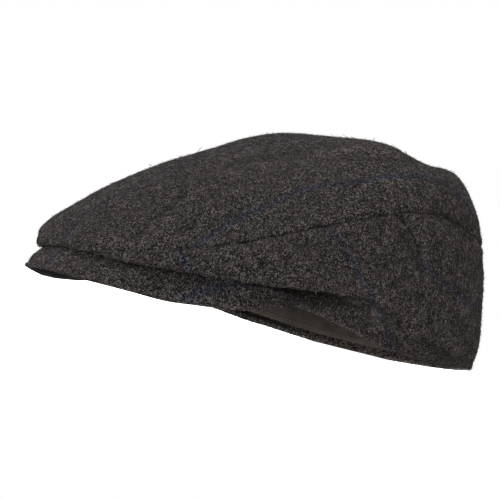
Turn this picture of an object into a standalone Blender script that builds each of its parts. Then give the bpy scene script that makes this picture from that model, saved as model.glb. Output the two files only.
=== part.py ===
"""Flat cap in tweed: a top panel, two side panels, a back panel, a stiff peak and a sweatband.

Front towards -Y, top towards +Z, the surface it rests on at z = 0. Metres and degrees.
A direction is an angle seen from above: 0 at the front, 90 at the wearer's left (+X), 180 behind.
A station is a place on the crown's profile, counted up from the rim: 0 rim, 1 crease, 2 and 3 under
the overhang, 4 lip, 5 bulge, 6 seam, 7 shoulder, 8 mid, 9 top, 10 apex.
"""
import math

import bpy
import mathutils
import numpy as np

# Head opening, to the outside of the band
OPENING_HALF_LONG = 0.0995
OPENING_HALF_WIDE = 0.0825
OPENING_SQUARENESS = 2.15
# How far the crown stands out past the opening
FRONT_OVERHANG = 0.0440
SIDE_OVERHANG = 0.0140
BACK_OVERHANG = 0.0010
# Crown, its cloth and its hem
CROWN_HEIGHT = 0.1080
CLOTH = 0.0022
LIP_CLOTH = 0.0013
HEM_CLOTH = 0.0034
HEM_HEIGHT = 0.0090
HEM_FADE = 0.0040
SEAM_GAP = 0.0003
# Peak: how far it shows past the crown, and how it thins towards its ends
PEAK_PAST_CROWN = 0.0055
PEAK_THICK = 0.0050
PEAK_ABOVE_RIM = 0.0012
PEAK_CLEARANCE = 0.0011
PEAK_LEAST_DEPTH = 0.0025
PEAK_END = 59.0
PEAK_THINS_FROM = 42.0
PEAK_END_SHARE = 0.36
PEAK_BEND = 2.2
# Sweatband
BAND_THICK = 0.0012
BAND_GAP = 0.0004
BAND_START = 0.0075
BAND_HEIGHT = 0.0320

FRONT_REACH = OPENING_HALF_LONG + FRONT_OVERHANG
BACK_REACH = OPENING_HALF_LONG + BACK_OVERHANG
SIDE_REACH = OPENING_HALF_WIDE + SIDE_OVERHANG
PEAK_DEPTH = FRONT_OVERHANG + PEAK_PAST_CROWN

# The crown's profile, one row each 20 degrees, the same on both sides. A column ending in _r is a
# share of the crown's reach in that direction, one in _z a share of CROWN_HEIGHT, and crease_out is
# how far the inner corner of the fold over the peak lies past the opening, in shares of SIDE_OVERHANG.
LOWER_COLUMNS = ("direction", "rim_z", "crease_out", "crease_z", "lip_r", "lip_z", "bulge_r", "bulge_z")
LOWER_ROWS = (
    (0, 0.175, 0.01, 0.262, 0.985, 0.130, 0.992, 0.208),
    (20, 0.170, 0.01, 0.257, 1.024, 0.130, 1.035, 0.208),
    (40, 0.158, 0.01, 0.245, 0.981, 0.155, 1.013, 0.245),
    (60, 0.124, 0.03, 0.232, 0.979, 0.182, 1.014, 0.310),
    (80, 0.068, 0.08, 0.215, 0.971, 0.175, 1.007, 0.350),
    (100, 0.032, 0.16, 0.100, 0.956, 0.085, 0.995, 0.320),
    (120, 0.014, 0.06, 0.050, 0.961, 0.070, 0.986, 0.250),
    (140, 0.004, 0.04, 0.043, 0.969, 0.078, 0.973, 0.190),
    (160, 0.006, 0.03, 0.045, 0.991, 0.085, 0.994, 0.180),
    (180, 0.012, 0.03, 0.050, 1.000, 0.090, 1.000, 0.190),
)
UPPER_COLUMNS = (
    "direction", "seam_r", "seam_z", "shoulder_r", "shoulder_z", "mid_r", "mid_z", "top_r", "top_z",
)
UPPER_ROWS = (
    (0, 0.950, 0.292, 0.820, 0.450, 0.620, 0.642, 0.335, 0.833),
    (20, 0.984, 0.292, 0.839, 0.466, 0.619, 0.671, 0.344, 0.849),
    (40, 0.958, 0.368, 0.807, 0.575, 0.582, 0.756, 0.336, 0.890),
    (60, 0.978, 0.512, 0.840, 0.708, 0.588, 0.860, 0.323, 0.935),
    (80, 0.946, 0.665, 0.812, 0.826, 0.559, 0.937, 0.294, 0.974),
    (100, 0.912, 0.712, 0.787, 0.866, 0.547, 0.962, 0.287, 0.989),
    (120, 0.888, 0.668, 0.755, 0.870, 0.558, 0.963, 0.286, 0.993),
    (140, 0.870, 0.650, 0.711, 0.893, 0.606, 0.966, 0.305, 0.989),
    (160, 0.873, 0.650, 0.721, 0.894, 0.613, 0.966, 0.314, 0.985),
    (180, 0.876, 0.650, 0.726, 0.893, 0.608, 0.963, 0.319, 0.984),
)
APEX_Z = 0.983
# Where the profile runs on top of the peak, between crease and lip
UNDER_SHARES = (0.34, 0.72)

# Edge of the peak: how far it stands out past the opening as a share of PEAK_DEPTH, and the height
# of its underside as a share of CROWN_HEIGHT
PEAK_ROWS = (
    (0, 1.000, 0.012), (10, 0.965, 0.002), (20, 0.854, -0.015), (30, 0.660, -0.021),
    (40, 0.418, 0.002), (48, 0.249, 0.056), (54, 0.147, 0.108), (60, 0.079, 0.142), (70, 0.015, 0.160),
)

# The rim lies a little twisted: how far its lower edge is lifted, in shares of CROWN_HEIGHT, from
# the front round over the left side (90) and the back (180) to the right side (270)
TWIST_HEIGHT = 0.040
TWIST_ROWS = (
    (0, 0.000), (90, 0.000), (105, 0.005), (120, 0.022), (135, 0.045), (150, 0.048), (165, 0.025),
    (180, 0.004), (192, -0.006), (205, -0.010), (225, -0.008), (250, 0.000), (270, 0.000), (360, 0.000),
)

# Station of the top panel's lower edge, by direction
TOP_SEAM_ROWS = ((0, 3.60), (10, 4.15), (20, 4.95), (30, 5.60), (40, 6.00), (60, 6.00), (180, 6.00))
# Direction of the seam between side and back panel, by station
BACK_SEAM_ROWS = ((0.0, 92.0), (2.5, 90.0), (4.0, 88.0), (4.8, 88.5), (5.3, 86.0), (6.0, 75.0), (6.5, 68.0))

# Soft dents and folds, each along a straight path: its ends x and y in shares of FRONT_REACH and z
# in shares of CROWN_HEIGHT, then its width and depth in shares of CROWN_HEIGHT
DENT_COLUMNS = ("x1", "y1", "z1", "x2", "y2", "z2", "width", "depth")
DENT_ROWS = (
    (-0.28, 0.57, 0.96, 0.36, 0.12, 0.96, 0.130, 0.039),
    (0.21, -0.74, 0.50, 0.27, -0.91, 0.26, 0.065, 0.009),
    (0.16, -0.56, 0.68, 0.22, -0.27, 0.84, 0.075, 0.008),
    (0.66, -0.10, 0.56, 0.67, -0.03, 0.47, 0.060, 0.009),
    (0.63, 0.03, 0.70, 0.56, 0.24, 0.67, 0.085, 0.015),
)

# How finely the surface is worked out, and how much it is smoothed
STATIONS = 10
PER_STATION = 12
DIRECTIONS = 180
PROFILE_SMOOTHING = 26
NORMAL_SMOOTHING = 40
SMOOTH_MIDDLE = 0.60
# How many faces the pieces have
SIDE_COLUMNS = 23
BACK_COLUMNS = 35
PANEL_MARKS = (0, 0.6, 1.0, 1.4, 2.0, 2.6, 3.1, 3.6, 4.0, 4.4, 4.9, 5.4, 6.0)
TOP_POINTS = 14
TOP_LAST_STATION = 9.86
PEAK_SECTIONS = 45
PEAK_POINTS = 9
BAND_SECTIONS = 56
BAND_POINTS = 5

TWEED_COLOUR = (0.040, 0.036, 0.033)
BAND_COLOUR = (0.025, 0.021, 0.018)
CLOTH_ROUGHNESS = 0.95
SHARP_ANGLE = 50.0


def ease(t):
    """0 to 1 with level ends."""
    t = np.clip(t, 0, 1)
    return t * t * (3 - 2 * t)


def round_curve(values, direction):
    """A smooth closed curve through values at even steps from 0 to 180 degrees, the same on both sides."""
    ring = np.array([*values, *values[-2:0:-1]], float)
    count = len(ring)
    matrix = np.eye(count) * 4 / 6
    for i in range(count):
        matrix[i, (i + 1) % count] = matrix[i, (i - 1) % count] = 1 / 6
    control = np.linalg.solve(matrix, ring)
    t = (np.asarray(direction, float) / (360 / count)) % count
    k = np.floor(t).astype(int)
    f = t - k
    weights = ((1 - f) ** 3, 3 * f**3 - 6 * f**2 + 4, -3 * f**3 + 3 * f**2 + 3 * f + 1, f**3)
    return sum(w / 6 * control[(k + j - 1) % count] for j, w in enumerate(weights))


def row_curve(rows, wanted, column=1):
    """A smooth curve through a table's rows that never swings past them (monotone cubic)."""
    x = np.array([row[0] for row in rows], float)
    y = np.array([row[column] for row in rows], float)
    h = np.diff(x)
    slope = np.diff(y) / h
    tangent = np.zeros(len(x))
    for i in range(1, len(x) - 1):
        if slope[i - 1] * slope[i] > 0:
            a, b = 2 * h[i] + h[i - 1], h[i] + 2 * h[i - 1]
            tangent[i] = (a + b) / (a / slope[i - 1] + b / slope[i])
    wanted = np.clip(np.asarray(wanted, float), x[0], x[-1])
    k = np.clip(np.searchsorted(x, wanted, side="right") - 1, 0, len(x) - 2)
    t = (wanted - x[k]) / h[k]
    return (
        (2 * t**3 - 3 * t**2 + 1) * y[k] + (t**3 - 2 * t**2 + t) * h[k] * tangent[k]
        + (-2 * t**3 + 3 * t**2) * y[k + 1] + (t**3 - t**2) * h[k] * tangent[k + 1]
    )


def folded(direction):
    """The angle from the front, 0 to 180, of any direction."""
    d = np.asarray(direction, float) % 360
    return np.where(d > 180, 360 - d, d)


def opening(direction):
    """Radius of the outside of the band."""
    s = np.abs(np.sin(np.radians(direction)))
    c = np.abs(np.cos(np.radians(direction)))
    n = OPENING_SQUARENESS
    return ((s / OPENING_HALF_WIDE) ** n + (c / OPENING_HALF_LONG) ** n) ** (-1 / n)


def reach(direction):
    """How far the crown reaches from the middle, the measure of its profile's radii."""
    c = np.cos(np.radians(direction))
    return SIDE_REACH + (np.where(c > 0, FRONT_REACH, BACK_REACH) - SIDE_REACH) * c**4


def crown_share(name, direction):
    """One column of the crown's two tables."""
    if name in LOWER_COLUMNS:
        columns, rows = LOWER_COLUMNS, LOWER_ROWS
    else:
        columns, rows = UPPER_COLUMNS, UPPER_ROWS
    k = columns.index(name)
    return round_curve([row[k] for row in rows], direction)


def peak_edge(direction):
    """Radius of the peak's edge, and the height of its underside there."""
    d = folded(direction)
    return (
        opening(direction) + row_curve(PEAK_ROWS, d) * PEAK_DEPTH,
        row_curve(PEAK_ROWS, d, column=2) * CROWN_HEIGHT,
    )


def peak_thickness(direction):
    t = (folded(direction) - PEAK_THINS_FROM) / (PEAK_END - PEAK_THINS_FROM)
    return PEAK_THICK * (1 - (1 - PEAK_END_SHARE) * ease(t))


def peak_top(direction, r):
    """Height of the peak's upper face, which bends down towards its edge."""
    edge_r, edge_z = peak_edge(direction)
    inner_r = opening(direction)
    thick = peak_thickness(direction)
    lift = PEAK_ABOVE_RIM * thick / PEAK_THICK
    inner_z = crown_share("rim_z", direction) * CROWN_HEIGHT + lift + thick
    t = np.clip((r - inner_r) / np.maximum(edge_r - inner_r, PEAK_LEAST_DEPTH / 10), 0, 1)
    return inner_z + (edge_z + 0.9 * thick - inner_z) * t**PEAK_BEND


def under_crown(direction, crease, lip, share):
    """A profile point between crease and lip: it follows the peak's upper face where there is one."""
    r = crease[0] + (lip[0] - crease[0]) * share
    straight = crease[1] + (lip[1] - crease[1]) * share
    on_peak = np.maximum(peak_top(direction, r) + PEAK_CLEARANCE, straight)
    past_peak = np.clip((folded(direction) - 50) / 15, 0, 1)
    return r, straight * past_peak + on_peak * (1 - past_peak)


def stations(direction):
    """The profile's eleven points (r, z) from the rim to the apex, a row for each direction."""

    def point(name):
        r = reach(direction) * crown_share(name + "_r", direction)
        return r, CROWN_HEIGHT * crown_share(name + "_z", direction)

    rim = opening(direction), CROWN_HEIGHT * crown_share("rim_z", direction)
    crease = (
        rim[0] + SIDE_OVERHANG * crown_share("crease_out", direction),
        CROWN_HEIGHT * crown_share("crease_z", direction),
    )
    lip = point("lip")
    under = [under_crown(direction, crease, lip, share) for share in UNDER_SHARES]
    upper = [point(name) for name in ("bulge", "seam", "shoulder", "mid", "top")]
    apex = np.zeros_like(rim[0]), np.full_like(rim[0], CROWN_HEIGHT * APEX_Z)
    return np.stack([np.stack(p, -1) for p in (rim, crease, *under, lip, *upper, apex)], 1)


def through(points):
    """A centripetal Catmull-Rom curve through a profile's points, whose first and last only steer it."""
    steps = np.sqrt(np.maximum(np.linalg.norm(np.diff(points, axis=0), axis=1), 1e-6))
    knots = np.concatenate([[0], np.cumsum(steps)])
    out = []
    for i in range(1, len(points) - 2):
        t0, t1, t2, t3 = knots[i - 1 : i + 3]
        p0, p1, p2, p3 = points[i - 1 : i + 3]
        t = np.linspace(t1, t2, PER_STATION, endpoint=False)[:, None]
        a1 = (t1 - t) / (t1 - t0) * p0 + (t - t0) / (t1 - t0) * p1
        a2 = (t2 - t) / (t2 - t1) * p1 + (t - t1) / (t2 - t1) * p2
        a3 = (t3 - t) / (t3 - t2) * p2 + (t - t2) / (t3 - t2) * p3
        b1 = (t2 - t) / (t2 - t0) * a1 + (t - t0) / (t2 - t0) * a2
        b2 = (t3 - t) / (t3 - t1) * a2 + (t - t1) / (t3 - t1) * a3
        out.append((t2 - t) / (t2 - t1) * b1 + (t - t1) / (t2 - t1) * b2)
    return np.concatenate([*out, points[-2:-1]])


def off_the_peak(curve, directions):
    """Holds the band inside the peak's inner edge and the crown's underside above the peak."""
    station = np.arange(curve.shape[1]) / PER_STATION
    r, z = curve[..., 0], curve[..., 1]
    inner_r = opening(directions)[:, None]
    edge_r = peak_edge(directions)[0][:, None]
    at_peak = np.clip((PEAK_END + 4 - folded(directions)) / 4, 0, 1)[:, None]
    beside = (z < peak_top(directions[:, None], inner_r) + 1.5 * PEAK_CLEARANCE) & (station < 1.6)
    r = np.where(beside, r + (np.minimum(r, inner_r) - r) * at_peak, r)
    least = peak_top(directions[:, None], r) + PEAK_CLEARANCE
    above = (r > inner_r + 0.2 * PEAK_CLEARANCE) & (r < edge_r) & (station > 0.5) & (station < 5.5)
    z = np.where(above, z + (np.maximum(z, least) - z) * at_peak, z)
    return np.stack([r, z], -1)


def soften_middle(grid):
    """Near the apex the height follows one smooth polynomial surface, so that no star shows there."""
    x, y, z = (grid[..., k] for k in range(3))
    radius = SMOOTH_MIDDLE * OPENING_HALF_WIDE
    u, v = x / radius, y / radius
    terms = np.stack([u**0, v, u**2, v**2, u**2 * v, v**3, u**4, u**2 * v**2, v**4], -1)
    from_apex = np.hypot(u, v)
    near = from_apex < 1.04
    fit = np.linalg.lstsq(terms[near], z[near], rcond=None)[0]
    weight = ease((1 - from_apex) / 0.6)
    out = grid.copy()
    out[..., 2] = z * (1 - weight) + (terms @ fit) * weight
    return out


def crown_grid():
    """Points of the crown's outside: one row per direction, rim first, apex last."""
    directions = np.arange(DIRECTIONS) * 360 / DIRECTIONS
    points = stations(directions)
    before = 2 * points[:, :1] - points[:, 1:2]
    beyond = np.roll(points, -DIRECTIONS // 2, axis=0)[:, -2:-1] * np.array([-1, 1])
    profiles = np.concatenate([before, points, beyond], 1)
    curve = np.array([through(profile) for profile in profiles])
    for _ in range(PROFILE_SMOOTHING):
        between = (curve[:, :-2] + curve[:, 2:]) / 2
        curve[:, 1:-1] = (curve[:, 1:-1] + between) / 2
    curve = off_the_peak(curve, directions)
    a = np.radians(directions)[:, None]
    grid = np.stack([curve[..., 0] * np.sin(a), -curve[..., 0] * np.cos(a), curve[..., 1]], -1)
    lift = row_curve(TWIST_ROWS, directions) * CROWN_HEIGHT
    grid[..., 2] += lift[:, None] * ease(1 - grid[..., 2] / TWIST_HEIGHT)
    return soften_middle(grid)


def grid_normals(grid):
    """Outward directions of the grid's points, smoothed so that the wall's inside stays even."""
    along = np.roll(grid, -1, 0) - np.roll(grid, 1, 0)
    n = np.cross(along, np.gradient(grid, axis=1))
    n[:, -1] = n[:, -2].mean(0)
    n /= np.maximum(np.linalg.norm(n, axis=-1, keepdims=True), 1e-12)
    for _ in range(NORMAL_SMOOTHING):
        n[:, 1:-1] = (n[:, :-2] + 2 * n[:, 1:-1] + n[:, 2:]) / 4
    return n / np.maximum(np.linalg.norm(n, axis=-1, keepdims=True), 1e-12)


def dented(grid):
    """The grid with its dents and folds pressed in."""
    sizes = np.array([FRONT_REACH, FRONT_REACH, CROWN_HEIGHT])
    push = np.zeros(grid.shape[:2])
    for row in DENT_ROWS:
        dent = dict(zip(DENT_COLUMNS, row))
        start = np.array([dent["x1"], dent["y1"], dent["z1"]]) * sizes
        path = np.array([dent["x2"], dent["y2"], dent["z2"]]) * sizes - start
        t = np.clip(((grid - start) @ path) / (path @ path), 0, 1)
        away = np.linalg.norm(grid - start - t[..., None] * path, axis=-1)
        push += dent["depth"] * CROWN_HEIGHT * np.exp(-((away / (dent["width"] * CROWN_HEIGHT)) ** 2))
    return grid - grid_normals(grid) * push[..., None]


def sample(grid, direction, station):
    """The grid at any direction and station, by Catmull-Rom weights both ways."""
    u = np.asarray(direction, float) % 360 / (360 / DIRECTIONS)
    v = np.clip(np.asarray(station, float), 0, STATIONS) * PER_STATION
    u, v = np.broadcast_arrays(u, v)
    last = grid.shape[1] - 1
    iu = np.floor(u).astype(int)
    iv = np.minimum(np.floor(v).astype(int), last - 1)

    def weights(f):
        return (
            (-f + 2 * f**2 - f**3) / 2, (2 - 5 * f**2 + 3 * f**3) / 2,
            (f + 4 * f**2 - 3 * f**3) / 2, (-(f**2) + f**3) / 2,
        )

    total = 0
    for j, across in enumerate(weights(u - iu)):
        ku = (iu + j - 1) % DIRECTIONS
        for k, up in enumerate(weights(v - iv)):
            kv = iv + k - 1
            value = grid[ku, np.clip(kv, 0, last)]
            value = np.where((kv < 0)[..., None], 2 * grid[ku, 0] - grid[ku, 1], value)
            opposite = grid[(ku + DIRECTIONS // 2) % DIRECTIONS, last - 1]
            value = np.where((kv > last)[..., None], opposite, value)
            total = total + (across * up)[..., None] * value
    return total


def crown_point(direction, station, depth=None):
    """Point of the crown's outside, or depth further in."""
    point = sample(GRID, direction, station)
    if depth is None:
        return point
    normal = sample(NORMALS, direction, station)
    normal /= np.linalg.norm(normal, axis=-1, keepdims=True)
    return point - normal * np.asarray(depth)[..., None]


def cloth_depth(direction, station):
    """Thickness of the cloth: doubled in the hem above the rim, stretched thinner round the lip."""
    station = np.asarray(station, float)
    above_rim = (crown_point(direction, station) - crown_point(direction, 0 * station))[..., 2]
    hem = HEM_CLOTH + (CLOTH - HEM_CLOTH) * ease((above_rim - HEM_HEIGHT) / HEM_FADE)
    rolled = CLOTH - (CLOTH - LIP_CLOTH) * np.exp(-(((station - 4) / 0.8) ** 2))
    return np.where(station > 2.5, rolled, hem)


def new_object(name, vertices, faces, colour):
    """An object of its own material; what would reach below the surface is flattened on it."""
    vertices = np.array(vertices, float)
    vertices[:, 2] = np.maximum(vertices[:, 2], 0)
    mesh = bpy.data.meshes.new(name)
    mesh.from_pydata([tuple(v) for v in vertices], [], faces)
    mesh.validate()
    mesh.shade_smooth()
    mesh.set_sharp_from_angle(angle=math.radians(SHARP_ANGLE))
    material = bpy.data.materials.new(name)
    material.use_nodes = True
    shader = material.node_tree.nodes["Principled BSDF"]
    shader.inputs["Base Color"].default_value = (*colour, 1)
    shader.inputs["Roughness"].default_value = CLOTH_ROUGHNESS
    mesh.materials.append(material)
    bpy.context.scene.collection.objects.link(bpy.data.objects.new(name, mesh))


def cloth_object(name, outer, inner, colour, ring=False, apex=False):
    """A closed wall between two grids of points, rows along the direction.

    A ring's last row joins its first, and an apex closes both grids' last columns in a point.
    """
    rows, cols = outer.shape[:2]
    half = rows * cols
    vertices = np.concatenate([outer.reshape(-1, 3), inner.reshape(-1, 3)])
    faces = []
    for i in range(rows if ring else rows - 1):
        a, b = i * cols, (i + 1) % rows * cols
        for j in range(cols - 1):
            faces.append((a + j, b + j, b + j + 1, a + j + 1))
            faces.append((half + a + j, half + a + j + 1, half + b + j + 1, half + b + j))
        faces += [(a, half + a, half + b), (a, half + b, b)]
        if not apex:
            c, d = a + cols - 1, b + cols - 1
            faces += [(c, d, half + d), (c, half + d, half + c)]
    if not ring:
        end = half - cols
        for j in range(cols - 1):
            faces.append((j, j + 1, half + j + 1, half + j))
            faces.append((end + j, half + end + j, half + end + j + 1, end + j + 1))
    if apex:
        tips = vertices.reshape(2, rows, cols, 3)[:, :, -1].mean(1)
        vertices = np.concatenate([vertices, tips])
        for i in range(rows):
            a, b = i * cols + cols - 1, (i + 1) % rows * cols + cols - 1
            faces += [(a, b, 2 * half), (half + a, 2 * half + 1, half + b)]
    new_object(name, vertices, faces, colour)


def top_seam(direction, side):
    """Station of the seam round the top panel, half the gap above (1) or below (-1) its middle."""
    station = row_curve(TOP_SEAM_ROWS, folded(direction))
    step = 0.1
    length = np.linalg.norm(
        crown_point(direction, station + step / 2) - crown_point(direction, station - step / 2), axis=-1
    )
    return station + side * SEAM_GAP / 2 * step / length


def seam_directions():
    """Directions of the points along the top seam, shared by the panels on both of its sides."""
    corner = float(row_curve(BACK_SEAM_ROWS, 6.0))
    side = np.linspace(0, corner, SIDE_COLUMNS)
    back = np.linspace(corner, 360 - corner, BACK_COLUMNS)
    return np.concatenate([side[:-1], back[:-1], 360 - side[:0:-1]])


def build_top_panel():
    direction = seam_directions()[:, None] + np.zeros(TOP_POINTS)
    low = top_seam(direction, 1)
    station = low + (TOP_LAST_STATION - low) * np.linspace(0, 1, TOP_POINTS)
    outer = crown_point(direction, station)
    inner = crown_point(direction, station, cloth_depth(direction, station))
    cloth_object("top_panel", outer, inner, TWEED_COLOUR, ring=True, apex=True)


def build_panel(name, start, end, columns):
    """A panel below the top seam, between two directions that are functions of the station."""
    marks = np.array(PANEL_MARKS)
    share = np.linspace(0, 1, columns)[:, None]
    direction = start(marks) + (end(marks) - start(marks)) * share
    station = top_seam(direction[:, -1:], -1) * marks / marks[-1]
    slant = np.gradient(direction, axis=1) / np.gradient(marks) / 14
    half_gap = np.degrees(SEAM_GAP / 2 / SIDE_REACH) * np.sqrt(1 + slant**2)
    direction = direction + half_gap * (1 - 2 * share)
    outer = crown_point(direction, station)
    inner = crown_point(direction, station, cloth_depth(direction, station))
    cloth_object(name, outer, inner, TWEED_COLOUR)


def build_lower_panels():
    def back(station):
        return row_curve(BACK_SEAM_ROWS, station)

    build_panel("side_panel_left", np.zeros_like, back, SIDE_COLUMNS)
    build_panel("side_panel_right", lambda s: 360 - back(s), lambda s: 360 + 0 * s, SIDE_COLUMNS)
    build_panel("back_panel", back, lambda s: 360 - back(s), BACK_COLUMNS)


def peak_section(direction):
    """The outline of the peak's cut in one direction: upper face, rounded edge, lower face."""
    inner_r = opening(direction) + PEAK_CLEARANCE
    edge_r = max(float(peak_edge(direction)[0]), inner_r + PEAK_LEAST_DEPTH)
    thick = float(peak_thickness(direction))
    r = np.linspace(inner_r, edge_r, PEAK_POINTS)
    top = peak_top(direction, r)
    slope = np.gradient(top, r)
    normal = np.stack([-slope, np.ones_like(slope)], -1) / np.sqrt(1 + slope**2)[:, None]
    upper = np.stack([r, top], -1)
    lower = upper - normal * thick
    lower[:, 0] = np.maximum(lower[:, 0], inner_r)
    rounding = 0.28 * thick
    upper[-1] -= normal[-1] * rounding
    lower[-1] += normal[-1] * rounding
    outward = np.array([normal[-1][1], -normal[-1][0]])
    nose = (upper[-1] + lower[-1]) / 2 + outward * 0.22 * thick
    return np.concatenate([upper, nose[None], lower[::-1]])


def build_peak():
    sections = []
    for direction in np.linspace(-PEAK_END, PEAK_END, PEAK_SECTIONS):
        r, z = peak_section(direction).T
        a = math.radians(direction)
        sections.append(np.stack([r * math.sin(a), -r * math.cos(a), z], -1))
    sections = np.array(sections)
    rows, cols = sections.shape[:2]
    faces = []
    for i in range(rows - 1):
        for j in range(cols):
            k = (j + 1) % cols
            faces.append((i * cols + j, i * cols + k, (i + 1) * cols + k, (i + 1) * cols + j))
    for start, turn in ((0, -1), ((rows - 1) * cols, 1)):
        nose = PEAK_POINTS
        faces.append([start + j for j in (nose - 1, nose, nose + 1)][::turn])
        for j in range(nose - 1):
            faces.append([start + j, start + j + 1, start + cols - 2 - j, start + cols - 1 - j][::turn])
    new_object("peak", sections.reshape(-1, 3), faces, TWEED_COLOUR)


def build_sweatband():
    """A ring inside the hem, which leans in where the crown's wall does."""
    direction = np.arange(BAND_SECTIONS)[:, None] * 360 / BAND_SECTIONS
    rim_z = crown_point(direction, 0 * direction)[..., 2]
    z = rim_z + BAND_START + BAND_HEIGHT * np.linspace(0, 1, BAND_POINTS)
    station = np.linspace(0, 7, 141)[None, :] + 0 * direction
    wall = crown_point(direction, station, np.full_like(station, CLOTH))
    wall_r = np.hypot(wall[..., 0], wall[..., 1])
    spacing = BAND_HEIGHT / BAND_POINTS / 2
    level = np.abs(wall[:, None, :, 2] - z[:, :, None]) < spacing
    free_r = np.where(level, wall_r[:, None, :], SIDE_REACH + FRONT_REACH).min(-1)
    r = np.minimum(opening(direction) - HEM_CLOTH, free_r) - BAND_GAP
    a = np.radians(direction)
    outer = np.stack([r * np.sin(a), -r * np.cos(a), z], -1)
    r = r - BAND_THICK
    inner = np.stack([r * np.sin(a), -r * np.cos(a), z], -1)
    cloth_object("sweatband", outer, inner, BAND_COLOUR, ring=True)


def centre_on_origin():
    """Slides the cap level, so that the middle of its box stands over the origin."""
    meshes = [obj.data for obj in bpy.data.objects]
    points = np.array([vertex.co for mesh in meshes for vertex in mesh.vertices])
    middle = (points.min(0) + points.max(0)) / 2
    for mesh in meshes:
        mesh.transform(mathutils.Matrix.Translation((-middle[0], -middle[1], 0)))


for old in list(bpy.data.objects):
    bpy.data.objects.remove(old)
GRID = dented(crown_grid())
NORMALS = grid_normals(GRID)
build_top_panel()
build_lower_panels()
build_peak()
build_sweatband()
centre_on_origin()
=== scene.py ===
"""Flat cap of charcoal wool tweed, laid out piece by piece in the order that it is sewn together.

Front towards -Y, top towards +Z, the floor at z = 0. Metres and degrees. A direction is an angle seen
from above: 0 at the front, 90 at the wearer's left (+X), 180 behind. A station is a place on the
crown's profile, counted up from the rim: 0 rim, 1 crease over the peak, 4 lip, 6 seam, 10 apex.
"""
import math

import bpy
import numpy as np
from mathutils import Matrix, Vector


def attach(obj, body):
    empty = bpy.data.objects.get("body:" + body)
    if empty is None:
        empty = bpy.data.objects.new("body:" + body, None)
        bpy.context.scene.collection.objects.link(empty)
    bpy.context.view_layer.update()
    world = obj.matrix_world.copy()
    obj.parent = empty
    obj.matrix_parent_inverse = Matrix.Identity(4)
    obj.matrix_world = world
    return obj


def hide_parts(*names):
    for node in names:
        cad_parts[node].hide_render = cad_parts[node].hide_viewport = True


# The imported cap, whose solids give each piece its place and the box that it stays in
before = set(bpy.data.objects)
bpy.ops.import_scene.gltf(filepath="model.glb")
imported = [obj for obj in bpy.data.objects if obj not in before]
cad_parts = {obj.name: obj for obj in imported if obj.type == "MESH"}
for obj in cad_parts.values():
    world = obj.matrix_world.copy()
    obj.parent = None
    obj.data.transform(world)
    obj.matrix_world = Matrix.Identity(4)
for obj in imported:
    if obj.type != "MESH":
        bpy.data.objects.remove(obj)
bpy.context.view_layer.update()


# Camera
# It stands at the photo's angle round the cap, and is tilted to one side as there, so that the cap lies
# on a slope in the picture. The photo looks up from below the level of the rim; this camera is as low
# as the floor allows, and looks up a little less.
CAMERA_ROUND = 54.0
CAMERA_TURN = 13.9
CAMERA_DISTANCE = 0.92
CAMERA_HEIGHT = 0.0052
CAP_MIDDLE = Vector((0, 0.0038, 0.045))
PIXELS_PER_MM = 1.960
MIDDLE_RIGHT_OF_CENTRE = 29.6
MIDDLE_ABOVE_CENTRE = 7.0
PICTURE_PIXELS = 500
SENSOR_WIDTH = 36

elevation = math.asin((CAMERA_HEIGHT - CAP_MIDDLE.z) / CAMERA_DISTANCE)
round_angle, turn = math.radians(CAMERA_ROUND), math.radians(CAMERA_TURN)
back = Vector((
    math.sin(round_angle) * math.cos(elevation),
    -math.cos(round_angle) * math.cos(elevation),
    math.sin(elevation),
))
level_right = Vector((math.cos(round_angle), math.sin(round_angle), 0))
level_up = back.cross(level_right)
right = level_right * math.cos(turn) + level_up * math.sin(turn)
up = level_up * math.cos(turn) - level_right * math.sin(turn)
place = CAP_MIDDLE + back * CAMERA_DISTANCE
aim = CAP_MIDDLE - (right * MIDDLE_RIGHT_OF_CENTRE + up * MIDDLE_ABOVE_CENTRE) / PIXELS_PER_MM / 1000
back = (place - aim).normalized()
right = (right - back * right.dot(back)).normalized()
up = back.cross(right)
camera_data = bpy.data.cameras.new("camera")
camera_data.sensor_width = SENSOR_WIDTH
camera_data.lens = SENSOR_WIDTH * PIXELS_PER_MM * CAMERA_DISTANCE * 1000 / PICTURE_PIXELS
camera_data.clip_start, camera_data.clip_end = 0.05, 60
camera = bpy.data.objects.new("camera", camera_data)
camera.matrix_world = Matrix.Translation(place) @ Matrix((right, up, back)).transposed().to_4x4()
bpy.context.scene.collection.objects.link(camera)
bpy.context.scene.camera = camera


# Top panel
# One piece of fuzzy wool tweed from the fold over the peak to the back seam. It is cut flat, sewn to
# the panels below it all round, and lies in soft dents where nothing holds it up from inside.

# The head opening is an oval, a little squarer than an ellipse, and the crown overhangs it all round
OPENING_HALF_LONG = 0.0995
OPENING_HALF_WIDE = 0.0825
OPENING_SQUARENESS = 2.15
FRONT_OVERHANG = 0.0440
SIDE_OVERHANG = 0.0140
BACK_OVERHANG = 0.0010
CROWN_HEIGHT = 0.1080
# The peak, on which the front of the crown lies: it thins out to its ends and bends down to its edge
PEAK_PAST_CROWN = 0.0055
PEAK_THICK = 0.0050
PEAK_ABOVE_RIM = 0.0012
PEAK_CLEARANCE = 0.0011
PEAK_LEAST_DEPTH = 0.0025
PEAK_END = 59.0
PEAK_END_FADE = 4.0
PEAK_THINS_FROM = 42.0
PEAK_END_SHARE = 0.36
PEAK_EDGE_SHARE = 0.9
PEAK_BEND = 3.6
# The cloth, stretched thinner round the lip of the fold and doubled in the hem above the rim
CLOTH = 0.0022
LIP_CLOTH = 0.0013
LIP_STATION, LIP_THIN_FROM, LIP_THIN_OVER = 4, 2.5, 0.8
HEM_CLOTH = 0.0034
HEM_HEIGHT = 0.0090
HEM_FADE = 0.0040
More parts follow.
